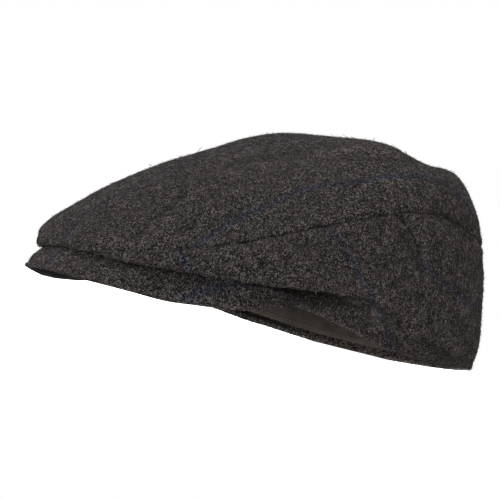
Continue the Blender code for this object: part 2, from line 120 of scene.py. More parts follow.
# From the middle of the opening, where the sizes are counted from, to the middle of the cap
TO_MIDDLE = np.array([0, 0.0238246, 0])
FRONT_REACH = OPENING_HALF_LONG + FRONT_OVERHANG
BACK_REACH = OPENING_HALF_LONG + BACK_OVERHANG
SIDE_REACH = OPENING_HALF_WIDE + SIDE_OVERHANG
PEAK_DEPTH = FRONT_OVERHANG + PEAK_PAST_CROWN

# The crown's profile, one row each 20 degrees, the same on both sides. A column ending in _r is a
# share of the crown's reach in that direction, one in _z a share of CROWN_HEIGHT, and crease_out is
# how far the inner corner of the fold over the peak lies past the opening, in shares of SIDE_OVERHANG.
PROFILE_COLUMNS = (
    "rim_z", "crease_out", "crease_z", "lip_r", "lip_z", "bulge_r", "bulge_z",
    "seam_r", "seam_z", "shoulder_r", "shoulder_z", "mid_r", "mid_z", "top_r", "top_z",
)
PROFILE_ROWS = (
    (.175, .01, .262, .985, .130, .992, .208, .950, .292, .820, .450, .620, .642, .335, .833),
    (.170, .01, .257, 1.024, .130, 1.035, .208, .984, .292, .839, .466, .619, .671, .344, .849),
    (.158, .01, .245, .981, .155, 1.013, .245, .958, .368, .807, .575, .582, .756, .336, .890),
    (.124, .03, .232, .979, .182, 1.014, .310, .978, .512, .840, .708, .588, .860, .323, .935),
    (.068, .22, .165, .971, .165, 1.007, .350, .946, .665, .812, .826, .559, .937, .294, .974),
    (.032, .36, .060, .962, .090, .995, .320, .912, .712, .787, .866, .547, .962, .287, .989),
    (.014, .26, .036, .966, .078, .986, .250, .888, .668, .755, .870, .558, .963, .286, .993),
    (.004, .04, .043, .969, .078, .973, .190, .870, .650, .711, .893, .606, .966, .305, .989),
    (.006, .03, .045, .991, .085, .994, .180, .873, .650, .721, .894, .613, .966, .314, .985),
    (.012, .03, .050, 1.000, .090, 1.000, .190, .876, .650, .726, .893, .608, .963, .319, .984),
)
APEX_Z = 0.983
# Between the crease and the lip the cloth lies on the peak, as far round as the fold does
UNDER_SHARES = (0.34, 0.72)
FOLD_LEAVES_PEAK, FOLD_LEAVES_OVER = 50.0, 15.0
# The peak's edge by direction: how far it reaches past the opening in shares of PEAK_DEPTH, and how
# high its underside is in shares of CROWN_HEIGHT
PEAK_ROWS = (
    (0, 1.000, 0.020), (10, 0.965, 0.016), (20, 0.854, 0.004), (30, 0.660, -0.012),
    (40, 0.418, 0.002), (48, 0.249, 0.056), (54, 0.147, 0.108), (60, 0.079, 0.142), (70, 0.015, 0.160),
)
# How much higher the peak's edge is than the solid's, in metres by direction: its near corner stands
# up a little, and shows the opening beside it
PEAK_LIFT_ROWS = (
    (-180, 0), (8, 0), (18, 0.0010), (26, 0.0022), (33, 0.0042), (40, 0.0048), (48, 0.0044), (56, 0.0030),
    (63, 0), (180, 0),
)
# How much shorter the peak is than the solid's, in metres by direction: its nose is rounder on the right
PEAK_SHORT_ROWS = (
    (-180, 0), (-42, 0), (-30, 0.0008), (-16, 0.0014), (-6, 0.0010), (8, 0), (180, 0),
)
# The rim's twist: how far it is lifted in shares of CROWN_HEIGHT by direction, fading out at a height
TWIST_HEIGHT = 0.040
TWIST_ROWS = (
    (0, 0.000), (90, 0.000), (105, 0.005), (120, 0.022), (135, 0.045), (150, 0.048), (165, 0.025),
    (180, 0.004), (192, -0.006), (205, -0.010), (225, -0.008), (250, 0.000), (270, 0.000), (360, 0.000),
)
# How much higher the lip of the fold is than the solid's, in metres by direction: it sags onto the peak
# on the wearer's right and stands a little prouder on their left
LIP_ROWS = (
    (-180, 0), (-75, 0), (-52, -0.0022), (-36, -0.0030), (-18, -0.0012), (0, 0.0004), (25, 0.0014),
    (40, 0.0022), (54, 0.0040), (64, 0.0054), (74, 0.0036), (84, 0.0010), (94, 0), (180, 0),
)
SAG_STATION, SAG_SPREAD = 3.4, 1.2
# The seam round the top panel, as a station by direction: at the front it runs under the fold
TOP_SEAM_ROWS = (
    (0, 3.60), (10, 4.15), (20, 4.95), (30, 5.60), (40, 6.00), (48, 6.09), (58, 6.11), (66, 6.07),
    (74, 6.05), (86, 6.00), (180, 6.00),
)

# Soft dents, each along a straight path: its ends x and y in shares of FRONT_REACH and z in shares of
# CROWN_HEIGHT, then its width and depth in shares of CROWN_HEIGHT
DENT_ROWS = (
    (-0.28, 0.57, 0.96, 0.36, 0.12, 0.96, 0.130, 0.039),
    (0.21, -0.74, 0.50, 0.27, -0.91, 0.26, 0.065, 0.009),
    (0.16, -0.56, 0.68, 0.22, -0.27, 0.84, 0.075, 0.008),
    (0.66, -0.10, 0.56, 0.67, -0.03, 0.47, 0.060, 0.009),
    (0.63, 0.03, 0.70, 0.56, 0.24, 0.67, 0.085, 0.015),
)
STATIONS, PER_STATION, DIRECTIONS = 10, 12, 180
PROFILE_SMOOTHING, NORMAL_SMOOTHING = 26, 40
# Where the crown has to clear the peak: how near it, and between which stations
NEAR_PEAK, JUST_OUTSIDE = 1.5 * PEAK_CLEARANCE, 0.2 * PEAK_CLEARANCE
BESIDE_PEAK_TO = 1.6
OVER_PEAK_FROM, OVER_PEAK_TO = 0.5, 5.5
# Over its middle the top is one smooth dome. Its size is a share of the opening's half width, and the
# two after it are shares of that size: how far out points count, and how wide its edge fades
DOME_SHARE, DOME_FIT, DOME_FADE = 0.60, 1.04, 0.6


def ease(t):
    """0 to 1 with level ends."""
    t = np.clip(t, 0, 1)
    return t * t * (3 - 2 * t)


def bell(away, width):
    """1 where away is 0, falling off smoothly over a width."""
    return np.exp(-((away / width) ** 2))


def round_curve(values, direction):
    """A smooth closed curve through values at even steps from 0 to 180 degrees, the same on both sides."""
    ring = np.array([*values, *values[-2:0:-1]], float)
    count = len(ring)
    matrix = np.eye(count) * 4 / 6
    for i in range(count):
        matrix[i, (i + 1) % count] = matrix[i, (i - 1) % count] = 1 / 6
    control = np.linalg.solve(matrix, ring)
    t = (np.asarray(direction, float) / (360 / count)) % count
    k = np.floor(t).astype(int)
    f = t - k
    weights = ((1 - f) ** 3, 3 * f**3 - 6 * f**2 + 4, -3 * f**3 + 3 * f**2 + 3 * f + 1, f**3)
    return sum(w / 6 * control[(k + j - 1) % count] for j, w in enumerate(weights))


def row_curve(rows, wanted, column=1):
    """A smooth curve through a table's rows that never swings past them (monotone cubic)."""
    x = np.array([row[0] for row in rows], float)
    y = np.array([row[column] for row in rows], float)
    h = np.diff(x)
    slope = np.diff(y) / h
    tangent = np.zeros(len(x))
    for i in range(1, len(x) - 1):
        if slope[i - 1] * slope[i] > 0:
            a, b = 2 * h[i] + h[i - 1], h[i] + 2 * h[i - 1]
            tangent[i] = (a + b) / (a / slope[i - 1] + b / slope[i])
    wanted = np.clip(np.asarray(wanted, float), x[0], x[-1])
    k = np.clip(np.searchsorted(x, wanted, side="right") - 1, 0, len(x) - 2)
    t = (wanted - x[k]) / h[k]
    return (
        (2 * t**3 - 3 * t**2 + 1) * y[k] + (t**3 - 2 * t**2 + t) * h[k] * tangent[k]
        + (-2 * t**3 + 3 * t**2) * y[k + 1] + (t**3 - t**2) * h[k] * tangent[k + 1]
    )


def folded(direction):
    """The angle from the front, 0 to 180, of any direction."""
    d = np.asarray(direction, float) % 360
    return np.where(d > 180, 360 - d, d)


def signed(direction):
    """The angle from the front, -180 to 180, of any direction."""
    return (np.asarray(direction, float) + 180) % 360 - 180


def opening(direction):
    """Radius of the head opening."""
    s = np.abs(np.sin(np.radians(direction)))
    c = np.abs(np.cos(np.radians(direction)))
    n = OPENING_SQUARENESS
    return ((s / OPENING_HALF_WIDE) ** n + (c / OPENING_HALF_LONG) ** n) ** (-1 / n)


def reach(direction):
    """How far the crown reaches from the middle, the measure of its profile's radii."""
    c = np.cos(np.radians(direction))
    return SIDE_REACH + (np.where(c > 0, FRONT_REACH, BACK_REACH) - SIDE_REACH) * c**4


def profile_share(name, direction):
    """One column of the crown's table."""
    k = PROFILE_COLUMNS.index(name)
    return round_curve([row[k] for row in PROFILE_ROWS], direction)


def peak_edge(direction):
    """Radius of the peak's edge, and the height of its underside there."""
    d, one_sided = folded(direction), signed(direction)
    r = opening(direction) + row_curve(PEAK_ROWS, d) * PEAK_DEPTH - row_curve(PEAK_SHORT_ROWS, one_sided)
    return r, row_curve(PEAK_ROWS, d, column=2) * CROWN_HEIGHT + row_curve(PEAK_LIFT_ROWS, one_sided)


def peak_thickness(direction):
    """Thickness of the peak with its two layers of tweed."""
    t = (folded(direction) - PEAK_THINS_FROM) / (PEAK_END - PEAK_THINS_FROM)
    return PEAK_THICK * (1 - (1 - PEAK_END_SHARE) * ease(t))


def peak_top(direction, r):
    """Height of the peak's upper face, which bends down towards its edge."""
    edge_r, edge_z = peak_edge(direction)
    inner_r = opening(direction)
    thick = peak_thickness(direction)
    lift = PEAK_ABOVE_RIM * thick / PEAK_THICK
    inner_z = profile_share("rim_z", direction) * CROWN_HEIGHT + lift + thick
    t = np.clip((r - inner_r) / np.maximum(edge_r - inner_r, PEAK_LEAST_DEPTH / 10), 0, 1)
    return inner_z + (edge_z + PEAK_EDGE_SHARE * thick - inner_z) * t**PEAK_BEND


def profile_points(direction):
    """The profile's eleven points (r, z) from the rim to the apex, a row for each direction."""

    def point(name):
        """A place of the profile that the table names."""
        r = reach(direction) * profile_share(name + "_r", direction)
        return r, CROWN_HEIGHT * profile_share(name + "_z", direction)

    rim = opening(direction), CROWN_HEIGHT * profile_share("rim_z", direction)
    crease = (
        rim[0] + SIDE_OVERHANG * profile_share("crease_out", direction),
        CROWN_HEIGHT * profile_share("crease_z", direction),
    )
    lip = point("lip")
    under = []
    for share in UNDER_SHARES:
        r = crease[0] + (lip[0] - crease[0]) * share
        straight = crease[1] + (lip[1] - crease[1]) * share
        on_peak = np.maximum(peak_top(direction, r) + PEAK_CLEARANCE, straight)
        past_peak = np.clip((folded(direction) - FOLD_LEAVES_PEAK) / FOLD_LEAVES_OVER, 0, 1)
        under.append((r, straight * past_peak + on_peak * (1 - past_peak)))
    upper = [point(name) for name in ("bulge", "seam", "shoulder", "mid", "top")]
    apex = np.zeros_like(rim[0]), np.full_like(rim[0], CROWN_HEIGHT * APEX_Z)
    return np.stack([np.stack(p, -1) for p in (rim, crease, *under, lip, *upper, apex)], 1)


def through(points):
    """A centripetal Catmull-Rom curve through a profile's points, whose first and last only steer it."""
    steps = np.sqrt(np.maximum(np.linalg.norm(np.diff(points, axis=0), axis=1), 1e-6))
    knots = np.concatenate([[0], np.cumsum(steps)])
    out = []
    for i in range(1, len(points) - 2):
        t0, t1, t2, t3 = knots[i - 1 : i + 3]
        p0, p1, p2, p3 = points[i - 1 : i + 3]
        t = np.linspace(t1, t2, PER_STATION, endpoint=False)[:, None]
        a1 = (t1 - t) / (t1 - t0) * p0 + (t - t0) / (t1 - t0) * p1
        a2 = (t2 - t) / (t2 - t1) * p1 + (t - t1) / (t2 - t1) * p2
        a3 = (t3 - t) / (t3 - t2) * p2 + (t - t2) / (t3 - t2) * p3
        b1 = (t2 - t) / (t2 - t0) * a1 + (t - t0) / (t2 - t0) * a2
        b2 = (t3 - t) / (t3 - t1) * a2 + (t - t1) / (t3 - t1) * a3
        out.append((t2 - t) / (t2 - t1) * b1 + (t - t1) / (t2 - t1) * b2)
    return np.concatenate([*out, points[-2:-1]])


def at(direction, r, z):
    """A point from its direction, radius and height."""
    a = np.radians(direction)
    return np.stack([r * np.sin(a), -r * np.cos(a), z], -1)


def clear_of_peak(direction, station, r, z):
    """The profiles drawn in beside the peak, and lifted onto it where they lie over it."""
    inner_r = opening(direction)
    at_peak = np.clip((PEAK_END + PEAK_END_FADE - folded(direction)) / PEAK_END_FADE, 0, 1)
    beside = (z < peak_top(direction, inner_r) + NEAR_PEAK) & (station < BESIDE_PEAK_TO)
    r = np.where(beside, r + (np.minimum(r, inner_r) - r) * at_peak, r)
    least = peak_top(direction, r) + PEAK_CLEARANCE
    over = (r > inner_r + JUST_OUTSIDE) & (r < peak_edge(direction)[0])
    over = over & (station > OVER_PEAK_FROM) & (station < OVER_PEAK_TO)
    return r, np.where(over, z + (np.maximum(z, least) - z) * at_peak, z)


def domed(grid):
    """The grid with one smooth dome over the middle of the top, fitted to its points there."""
    u, v = (grid[..., k] / (DOME_SHARE * OPENING_HALF_WIDE) for k in (0, 1))
    z = grid[..., 2]
    terms = np.stack([u**0, v, u**2, v**2, u**2 * v, v**3, u**4, u**2 * v**2, v**4], -1)
    near = np.hypot(u, v) < DOME_FIT
    fit = np.linalg.lstsq(terms[near], z[near], rcond=None)[0]
    weight = ease((1 - np.hypot(u, v)) / DOME_FADE)
    grid[..., 2] = z * (1 - weight) + (terms @ fit) * weight
    return grid


def crown_grid():
    """Points of the crown's outside: one row per direction, rim first, apex last."""
    directions = np.arange(DIRECTIONS) * 360 / DIRECTIONS
    points = profile_points(directions)
    before = 2 * points[:, :1] - points[:, 1:2]
    beyond = np.roll(points, -DIRECTIONS // 2, axis=0)[:, -2:-1] * np.array([-1, 1])
    profiles = np.concatenate([before, points, beyond], 1)
    curve = np.array([through(profile) for profile in profiles])
    for _ in range(PROFILE_SMOOTHING):
        between = (curve[:, :-2] + curve[:, 2:]) / 2
        curve[:, 1:-1] = (curve[:, 1:-1] + between) / 2
    station = np.arange(curve.shape[1]) / PER_STATION
    sag = row_curve(LIP_ROWS, signed(directions))[:, None] * bell(station - SAG_STATION, SAG_SPREAD)
    r, z = clear_of_peak(directions[:, None], station, curve[..., 0], curve[..., 1] + sag)
    grid = at(directions[:, None], r, z)
    lift = row_curve(TWIST_ROWS, directions) * CROWN_HEIGHT
    grid[..., 2] += lift[:, None] * ease(1 - grid[..., 2] / TWIST_HEIGHT)
    return domed(grid)


def grid_normals(grid, smoothing):
    """Outward directions of the grid's points, smoothed along the profile."""
    along = np.roll(grid, -1, 0) - np.roll(grid, 1, 0)
    n = np.cross(along, np.gradient(grid, axis=1))
    n[:, -1] = n[:, -2].mean(0)
    n /= np.maximum(np.linalg.norm(n, axis=-1, keepdims=True), 1e-12)
    for _ in range(smoothing):
        n[:, 1:-1] = (n[:, :-2] + 2 * n[:, 1:-1] + n[:, 2:]) / 4
    return n / np.maximum(np.linalg.norm(n, axis=-1, keepdims=True), 1e-12)


def away_from(points, corners):
    """How far each point is from a path of straight stretches."""
    nearest = np.full(points.shape[:-1], np.inf)
    for start, end in zip(corners[:-1], corners[1:]):
        start, path = np.array(start), np.array(end) - np.array(start)
        t = np.clip(((points - start) @ path) / (path @ path), 0, 1)
        nearest = np.minimum(nearest, np.linalg.norm(points - start - t[..., None] * path, axis=-1))
    return nearest


def dented(grid):
    """The grid with its soft dents pressed in."""
    sizes = np.array([FRONT_REACH, FRONT_REACH, CROWN_HEIGHT])
    push = np.zeros(grid.shape[:2])
    for *ends, width, depth in DENT_ROWS:
        away = away_from(grid, (np.array(ends[:3]) * sizes, np.array(ends[3:]) * sizes))
        push += depth * CROWN_HEIGHT * bell(away, width * CROWN_HEIGHT)
    return grid - grid_normals(grid, NORMAL_SMOOTHING) * push[..., None]


# The crown's outside once over, with its outward directions, the length of cloth up from the rim, how
# much longer the cloth is from the apex than it looks from above, and the length round the crown
GRID = dented(crown_grid())
NORMALS = grid_normals(GRID, NORMAL_SMOOTHING)
steps = np.linalg.norm(np.diff(GRID, axis=1), axis=-1)
UP_FROM_RIM = np.concatenate([np.zeros((DIRECTIONS, 1)), np.cumsum(steps, 1)], 1)[..., None]
from_apex = UP_FROM_RIM[:, -1:] - UP_FROM_RIM
STRETCH = from_apex / np.maximum(np.hypot(GRID[..., :1], GRID[..., 1:2]), 1e-9)
STRETCH[:, -1] = STRETCH[:, -2].mean()
around = np.linalg.norm(GRID - np.roll(GRID, 1, 0), axis=-1)[:, 5 * PER_STATION]
AROUND = np.concatenate([[0], np.cumsum(np.roll(around, -1))])


def sample(grid, direction, station):
    """The grid at any direction and station, by Catmull-Rom weights both ways."""
    u = np.asarray(direction, float) % 360 / (360 / DIRECTIONS)
    v = np.clip(np.asarray(station, float), 0, STATIONS) * PER_STATION
    u, v = np.broadcast_arrays(u, v)
    last = grid.shape[1] - 1
    iu = np.floor(u).astype(int)
    iv = np.minimum(np.floor(v).astype(int), last - 1)

    def weights(f):
        """How much each of four points in a row counts, a share past the second."""
        return (
            (-f + 2 * f**2 - f**3) / 2, (2 - 5 * f**2 + 3 * f**3) / 2,
            (f + 4 * f**2 - 3 * f**3) / 2, (-(f**2) + f**3) / 2,
        )

    total = 0
    for j, across in enumerate(weights(u - iu)):
        ku = (iu + j - 1) % DIRECTIONS
        for k, upward in enumerate(weights(v - iv)):
            kv = iv + k - 1
            value = grid[ku, np.clip(kv, 0, last)]
            value = np.where((kv < 0)[..., None], 2 * grid[ku, 0] - grid[ku, 1], value)
            opposite = grid[(ku + DIRECTIONS // 2) % DIRECTIONS, last - 1]
            value = np.where((kv > last)[..., None], opposite, value)
            total = total + (across * upward)[..., None] * value
    return total


def crown_point(direction, station, depth=None):
    """Point of the crown's outside, or depth further in."""
    point = sample(GRID, direction, station)
    if depth is None:
        return point
    normal = sample(NORMALS, direction, station)
    normal /= np.linalg.norm(normal, axis=-1, keepdims=True)
    return point - normal * np.asarray(depth)[..., None]


def up_from_rim(direction, station):
    """Length of cloth from the rim up to a place."""
    return sample(UP_FROM_RIM, direction, station)[..., 0]


def around_crown(direction):
    """Length round the crown from the middle of the front."""
    return np.interp(np.asarray(direction, float), np.arange(DIRECTIONS + 1) * 360 / DIRECTIONS, AROUND)


def top_seam(direction):
    """Station of the seam round the top panel."""
    return row_curve(TOP_SEAM_ROWS, folded(direction))


def cloth_depth(direction, station):
    """Thickness of the cloth: doubled in the hem above the rim, stretched thinner round the lip."""
    above_rim = (crown_point(direction, station) - crown_point(direction, 0 * station))[..., 2]
    hem = HEM_CLOTH + (CLOTH - HEM_CLOTH) * ease((above_rim - HEM_HEIGHT) / HEM_FADE)
    at_lip = CLOTH - (CLOTH - LIP_CLOTH) * bell(station - LIP_STATION, LIP_THIN_OVER)
    return np.where(station > LIP_THIN_FROM, at_lip, hem)


def swell(points, length, seed, count=14):
    """Soft unevenness between about -1 and 1, with humps of about that length."""
    rng = np.random.default_rng(seed)
    way = rng.normal(size=(count, 3))
    waves = 2 * math.pi / (length * rng.uniform(0.7, 1.5, (count, 1)))
    way *= waves / np.linalg.norm(way, axis=1)[:, None]
    return np.sin(points @ way.T + rng.uniform(0, 2 * math.pi, count)).sum(-1) / math.sqrt(count)


# Creases in the cloth, in millimetres before the cap is centred: a path, a width and a depth, which is
# below 0 for a ridge
CREASE_ROWS = (
    (((31, -104, 52.5), (34.8, -114.3, 43.3), (37.1, -121.7, 36), (39.6, -129.5, 27.5)), 2.6, 0.85),
    (((23, -79, 73), (28, -41, 91)), 5.0, 0.5),
    (((66, -88, 39), (75.4, -78.9, 28)), 3.0, 0.9),
    (((92.6, -17, 60), (94.8, -9.3, 51)), 4.0, 0.6),
    (((89, 3, 76), (86.6, 17.5, 73), (79.6, 34, 72)), 5.0, 0.9),
    (((38, -36, 92), (48, -22, 96), (60, -10, 98)), 5.5, -0.9),
    (((88, -35, 24.8), (91, -28, 24.2), (93, -19, 22), (93.5, -9, 18.5)), 3.4, 1.2),
    (((92, 8, 12.5), (88, 26, 10), (77, 47, 8)), 3.6, 0.9),
    (((88, 20, 30), (84, 34, 22), (76, 52, 16)), 5.0, 1.0),
    (((-70, -30, 78), (-50, 10, 97)), 6.0, 0.7),
    (((-92, 10, 45), (-86, 32, 34)), 4.5, 0.7),
)
# Soft unevenness of the cloth: how high its humps are, how long, and the seed of where they lie
UNEVEN_ROWS = ((0.00022, 0.026, 3), (0.00009, 0.009, 4))
# Allowances folded under beside a seam lift the cloth a little, and the thread draws it into puckers
SEAM_GROOVE = 0.0019
SEAM_LEVEL = 0.37
ALLOWANCE_LIFT = 0.00035
ALLOWANCE_AT, ALLOWANCE_SPREAD = 0.55 * 0.0060, 0.35 * 0.0060
PUCKER, PUCKER_REACH = 0.00028, 0.0045
PUCKER_LENGTH, PUCKER_WANDER, PUCKER_WANDER_LENGTH = 0.0085, 1.5, 0.017
# Wear and painted light, as a change of tone: the nap is rubbed pale beside a seam and stays dark in
# the seam. The pale line along the rim is partly wear and partly a painted highlight; a crease is darker
# from wear and painted shade, with a painted highlight on its crest; the hollow under the fold has a
# painted shadow. Widths are in metres, a crease's in its own.
BESIDE_SEAM_PALE, BESIDE_SEAM_AT, BESIDE_SEAM_WIDE = 0.016, 0.0030, 0.0016
RIM_PALE, RIM_PALE_WIDE = 0.08, 0.0013
SEAM_DARK, SEAM_DARK_WIDE = 0.052, 0.0010
SEAM_BROKEN_ROWS = ((0.35, 0.030, 6), (0.35, 0.006, 7))
SEAM_BROKEN_MIDDLE, SEAM_BROKEN_MOST = 0.55, 1.4
CREASE_DARK, CREASE_DARK_WIDE = 0.060, 0.75
CREST_PALE, CREST_AT, CREST_WIDE = 0.35, 1.9, 0.7
# The painted shadow in the hollow under the fold: how dark, and the station and spread that it covers
FOLD_DARK, FOLD_STATION, FOLD_SPREAD = 0.16, 1.85, 1.40
# By direction: shares of SEAM_DARK, shares of FOLD_DARK, and the painted light and shade of the cloth
# below a station, lighter on the sides towards the front and darker further back
SEAM_ROWS = (
    (0, 0.5), (30, 0.35), (36, 0.5), (41, 1.5), (53, 1.9), (72, 2.3), (79, 1.5), (87, 0.45), (110, 0.4),
    (180, 0.6),
)
FOLD_ROWS = (
    (0, 0.3), (20, 0.6), (36, 1.15), (54, 1.1), (62, 0.95), (69, 0.6), (75, 0.2), (81, 0.0), (180, 0.0),
)
PAINTED_LIGHT_ROWS = (
    (0, 0.000), (30, 0.004), (50, 0.010), (72, 0.008), (90, -0.006), (120, -0.005), (180, -0.004),
)
PAINTED_LIGHT_BELOW, PAINTED_LIGHT_OVER = 6.2, 1.5
# Patches of painted light and shade: a middle and a radius in millimetres, and the change of tone
PAINTED_LIGHT_PATCHES = (
    ((76, -17, 84), 20, 0.018), ((0, -142, 24), 22, -0.006), ((30, -115, 48), 34, -0.010),
    ((87.5, -18, 18), 11, 0.046), ((81, -44, 17), 9, 0.036), ((85, -38, 21), 9, 0.022),
)


def from_crease(points, path, width):
    """How far points are from a crease, in widths of it."""
    return away_from(points, np.array(path) / 1000) / width * 1000


def relief(points, along_seam, from_seam):
    """How far the cloth stands out (above 0) or in, for creases, unevenness and what the seam does."""
    out = sum(high * swell(points, length, seed) for high, length, seed in UNEVEN_ROWS)
    for path, width, depth in CREASE_ROWS:
        out -= depth / 1000 * bell(from_crease(points, path, width), 1)
    ridge = bell(from_seam - ALLOWANCE_AT, ALLOWANCE_SPREAD)
    wander = PUCKER_WANDER * np.sin(along_seam / PUCKER_WANDER_LENGTH)
    wave = np.sin(2 * math.pi * along_seam / PUCKER_LENGTH + wander)
    return out + ALLOWANCE_LIFT * ridge + PUCKER * wave * bell(from_seam, PUCKER_REACH)


def wear_and_painted_light(points, direction, station, from_seam, from_rim):
    """How much paler (above 0) or darker the nap is: rubbed wear and dark seams, and painted light and
    shade.
    """
    around = folded(direction)
    pale = BESIDE_SEAM_PALE * bell(from_seam - BESIDE_SEAM_AT, BESIDE_SEAM_WIDE)
    # A pale line along the rim, partly wear and partly a painted highlight on its rounded edge
    pale = pale + RIM_PALE * bell(from_rim, RIM_PALE_WIDE)
    broken = SEAM_BROKEN_MIDDLE
    for share, length, seed in SEAM_BROKEN_ROWS:
        broken = broken + share * swell(points, length, seed)
    broken = np.clip(broken, 0, SEAM_BROKEN_MOST)
    pale -= SEAM_DARK * bell(from_seam, SEAM_DARK_WIDE) * broken * row_curve(SEAM_ROWS, around)
    # The painted shadow in the hollow under the fold
    under_lip = np.exp(-(((station - FOLD_STATION) / FOLD_SPREAD) ** 4)) * row_curve(FOLD_ROWS, around)
    pale -= FOLD_DARK * under_lip
    # Painted light and shade by direction, on the cloth below a station
    pale += row_curve(PAINTED_LIGHT_ROWS, around) * np.clip((PAINTED_LIGHT_BELOW - station) / PAINTED_LIGHT_OVER, 0, 1)
    # Patches of painted light and shade
    for middle, radius, amount in PAINTED_LIGHT_PATCHES:
        pale += amount * bell(np.linalg.norm(points * 1000 - np.array(middle), axis=-1), radius)
    # Painted shade in a crease, partly wear, and a painted highlight on the crest beside it
    for path, width, depth in CREASE_ROWS:
        away = from_crease(points, path, width)
        crest = CREST_PALE * bell(away - CREST_AT, CREST_WIDE)
        pale -= CREASE_DARK * depth * (bell(away, CREASE_DARK_WIDE) - crest)
    return pale


def rolled(from_edge, rounding):
    """Share of the cloth's thickness that is left near a free edge, which is round like half a tube."""
    t = np.clip(1 - from_edge / rounding, 0, 1)
    return np.sqrt(np.maximum(1 - t * t, 0))


def drawn_in(from_seam, groove=SEAM_GROOVE):
    """Share of the cloth's thickness that is left near a seam, where it dips in a soft groove."""
    return 1 - np.clip(1 - from_seam / groove, 0, 1) ** 2


def spread(low, high, count, ends):
    """Places from 0 to 1 for the rows of a piece, close together within low and high of its ends."""
    bend = 1 - np.cos(np.linspace(0, math.pi / 2, ends + 1))
    middle = np.linspace(low, 1 - high, count)
    return np.concatenate([low * bend[:-1], middle, 1 - high * bend[-2::-1]])


def both_faces(outside, inside):
    """Rows of a piece that is laid as one loop: over its outside, and back over its inside."""
    return [(share, 0) for share in outside] + [(share, 1) for share in inside]


def read(items, name, kind=float, width=1):
    """A mesh's values of one kind, as an array with a row for each item."""
    values = np.empty(len(items) * width, kind)
    items.foreach_get(name, values)
    return values.reshape(-1, width) if width > 1 else values


def lay_cloth(name, columns, rows, place):
    """Cuts a flat grid, lays its points where place says, and sews up the edges that meet."""
    bpy.ops.object.select_all(action="DESELECT")
    bpy.ops.mesh.primitive_grid_add(x_subdivisions=len(columns) - 1, y_subdivisions=len(rows) - 1, size=1)
    piece = bpy.context.object
    piece.name = piece.data.name = name
    mesh = piece.data
    flat = read(mesh.vertices, "co", width=3) + 0.5
    column = np.rint(flat[:, 0] * (len(columns) - 1)).astype(int)
    row = np.rint(flat[:, 1] * (len(rows) - 1)).astype(int)
    shares, inside = np.array(rows).T
    points, cloth, pale = place(np.asarray(columns)[column], shares[row], inside[row])
    points = points + TO_MIDDLE
    points[:, 2] = np.maximum(points[:, 2], 0)
    mesh.vertices.foreach_set("co", points.ravel())
    corner = read(mesh.loops, "vertex_index", int)
    uv = mesh.uv_layers[0] if mesh.uv_layers else mesh.uv_layers.new()
    uv.name = "cloth"
    uv.data.foreach_set("uv", cloth[corner].ravel())
    tone_variation = mesh.attributes.new("wear_and_shade", "FLOAT", "POINT")
    tone_variation.data.foreach_set("value", np.broadcast_to(pale, len(points)).ravel())
    first = read(mesh.polygons, "loop_start", int)
    face_inside = inside[row][corner[first]] + inside[row][corner[first + 2]]
    outer = mesh.attributes.new("outer", "BOOLEAN", "FACE")
    outer.data.foreach_set("value", face_inside < 1.5)
    bpy.ops.object.mode_set(mode="EDIT")
    bpy.ops.mesh.select_all(action="SELECT")
    bpy.ops.mesh.remove_doubles(threshold=2e-6)
    bpy.ops.mesh.dissolve_degenerate(threshold=1e-7)
    bpy.ops.mesh.normals_make_consistent(inside=False)
    bpy.ops.object.mode_set(mode="OBJECT")
    bpy.ops.object.shade_smooth()
    return piece


def crown_cloth(direction, station, inside, fullness, from_seam):
    """Points, and wear with painted light and shade, of a crown panel, from its place and its fullness
    there.
    """
    outside = crown_point(direction, station)
    lift = relief(outside, around_crown(direction % 360), from_seam)
    depth = cloth_depth(direction, station) * (SEAM_LEVEL + (inside - SEAM_LEVEL) * fullness) - lift
    pale = wear_and_painted_light(outside, direction, station, from_seam, up_from_rim(direction, station))
    return crown_point(direction, station, depth), pale


def linear(hex_colour):
    """An sRGB hex colour as Blender's linear one."""
    channels = [int(hex_colour[i : i + 2], 16) / 255 for i in (1, 3, 5)]
    return [c / 12.92 if c < 0.04045 else ((c + 0.055) / 1.055) ** 2.4 for c in channels] + [1]


def put(tree, kind, inputs=(), stops=(), **settings):
    """Adds a node: sets or links its inputs (a node gives its first output) and a ramp's stops."""
    node = tree.nodes.new("ShaderNode" + kind)
    for name, value in settings.items():
        setattr(node, name, value)
    for name, value in inputs.items() if isinstance(inputs, dict) else enumerate(inputs):
        if isinstance(value, bpy.types.Node):
            value = value.outputs[0]
        if isinstance(value, bpy.types.NodeSocket):
            tree.links.new(value, node.inputs[name])
        else:
            node.inputs[name].default_value = value
    if stops:
        marks = node.color_ramp.elements
        for mark, (position, hex_colour) in zip((marks[0], marks[1]), (stops[0], stops[-1])):
            mark.position, mark.color = position, linear(hex_colour)
        for position, hex_colour in stops[1:-1]:
            marks.new(position).color = linear(hex_colour)
    return node


def cloth_material(name, **sockets):
    """A new material whose shader has these socket values, and its node tree."""
    material = bpy.data.materials.new(name)
    material.use_nodes = True
    shader = material.node_tree.nodes["Principled BSDF"]
    for socket, value in sockets.items():
        shader.inputs[socket.replace("_", " ")].default_value = value
    return material, material.node_tree, shader


# Fuzzy wool tweed, woven from carded yarn in dark brown and charcoal and then brushed. The yarns are
# 0.7 mm wide, and each holds fibres of several shades, so close up it is a grain of pale and dark
# flecks that lie along both diagonals of the twill. Navy yarns make a stripe each 67 mm of its width.
# Real flecks are about half as large as these, which are drawn coarser so that they show in a picture
# of the whole cap. Sizes are in millimetres.
STRIPE_PITCH = 67.0
STRIPE_HALF_WIDTH = 1.8
STRIPE_RAGGED = 3.4
TWILL = 1.25
HERRINGBONE = 9.0
FLECK_LONG, FLECK_WIDE = 1.4, 0.38
FLECKS_TURNED = (42, -46)
GRAIN = 0.50
TUFT = 0.62
MELANGE = 6.0
HUE_PER_MM = 0.45
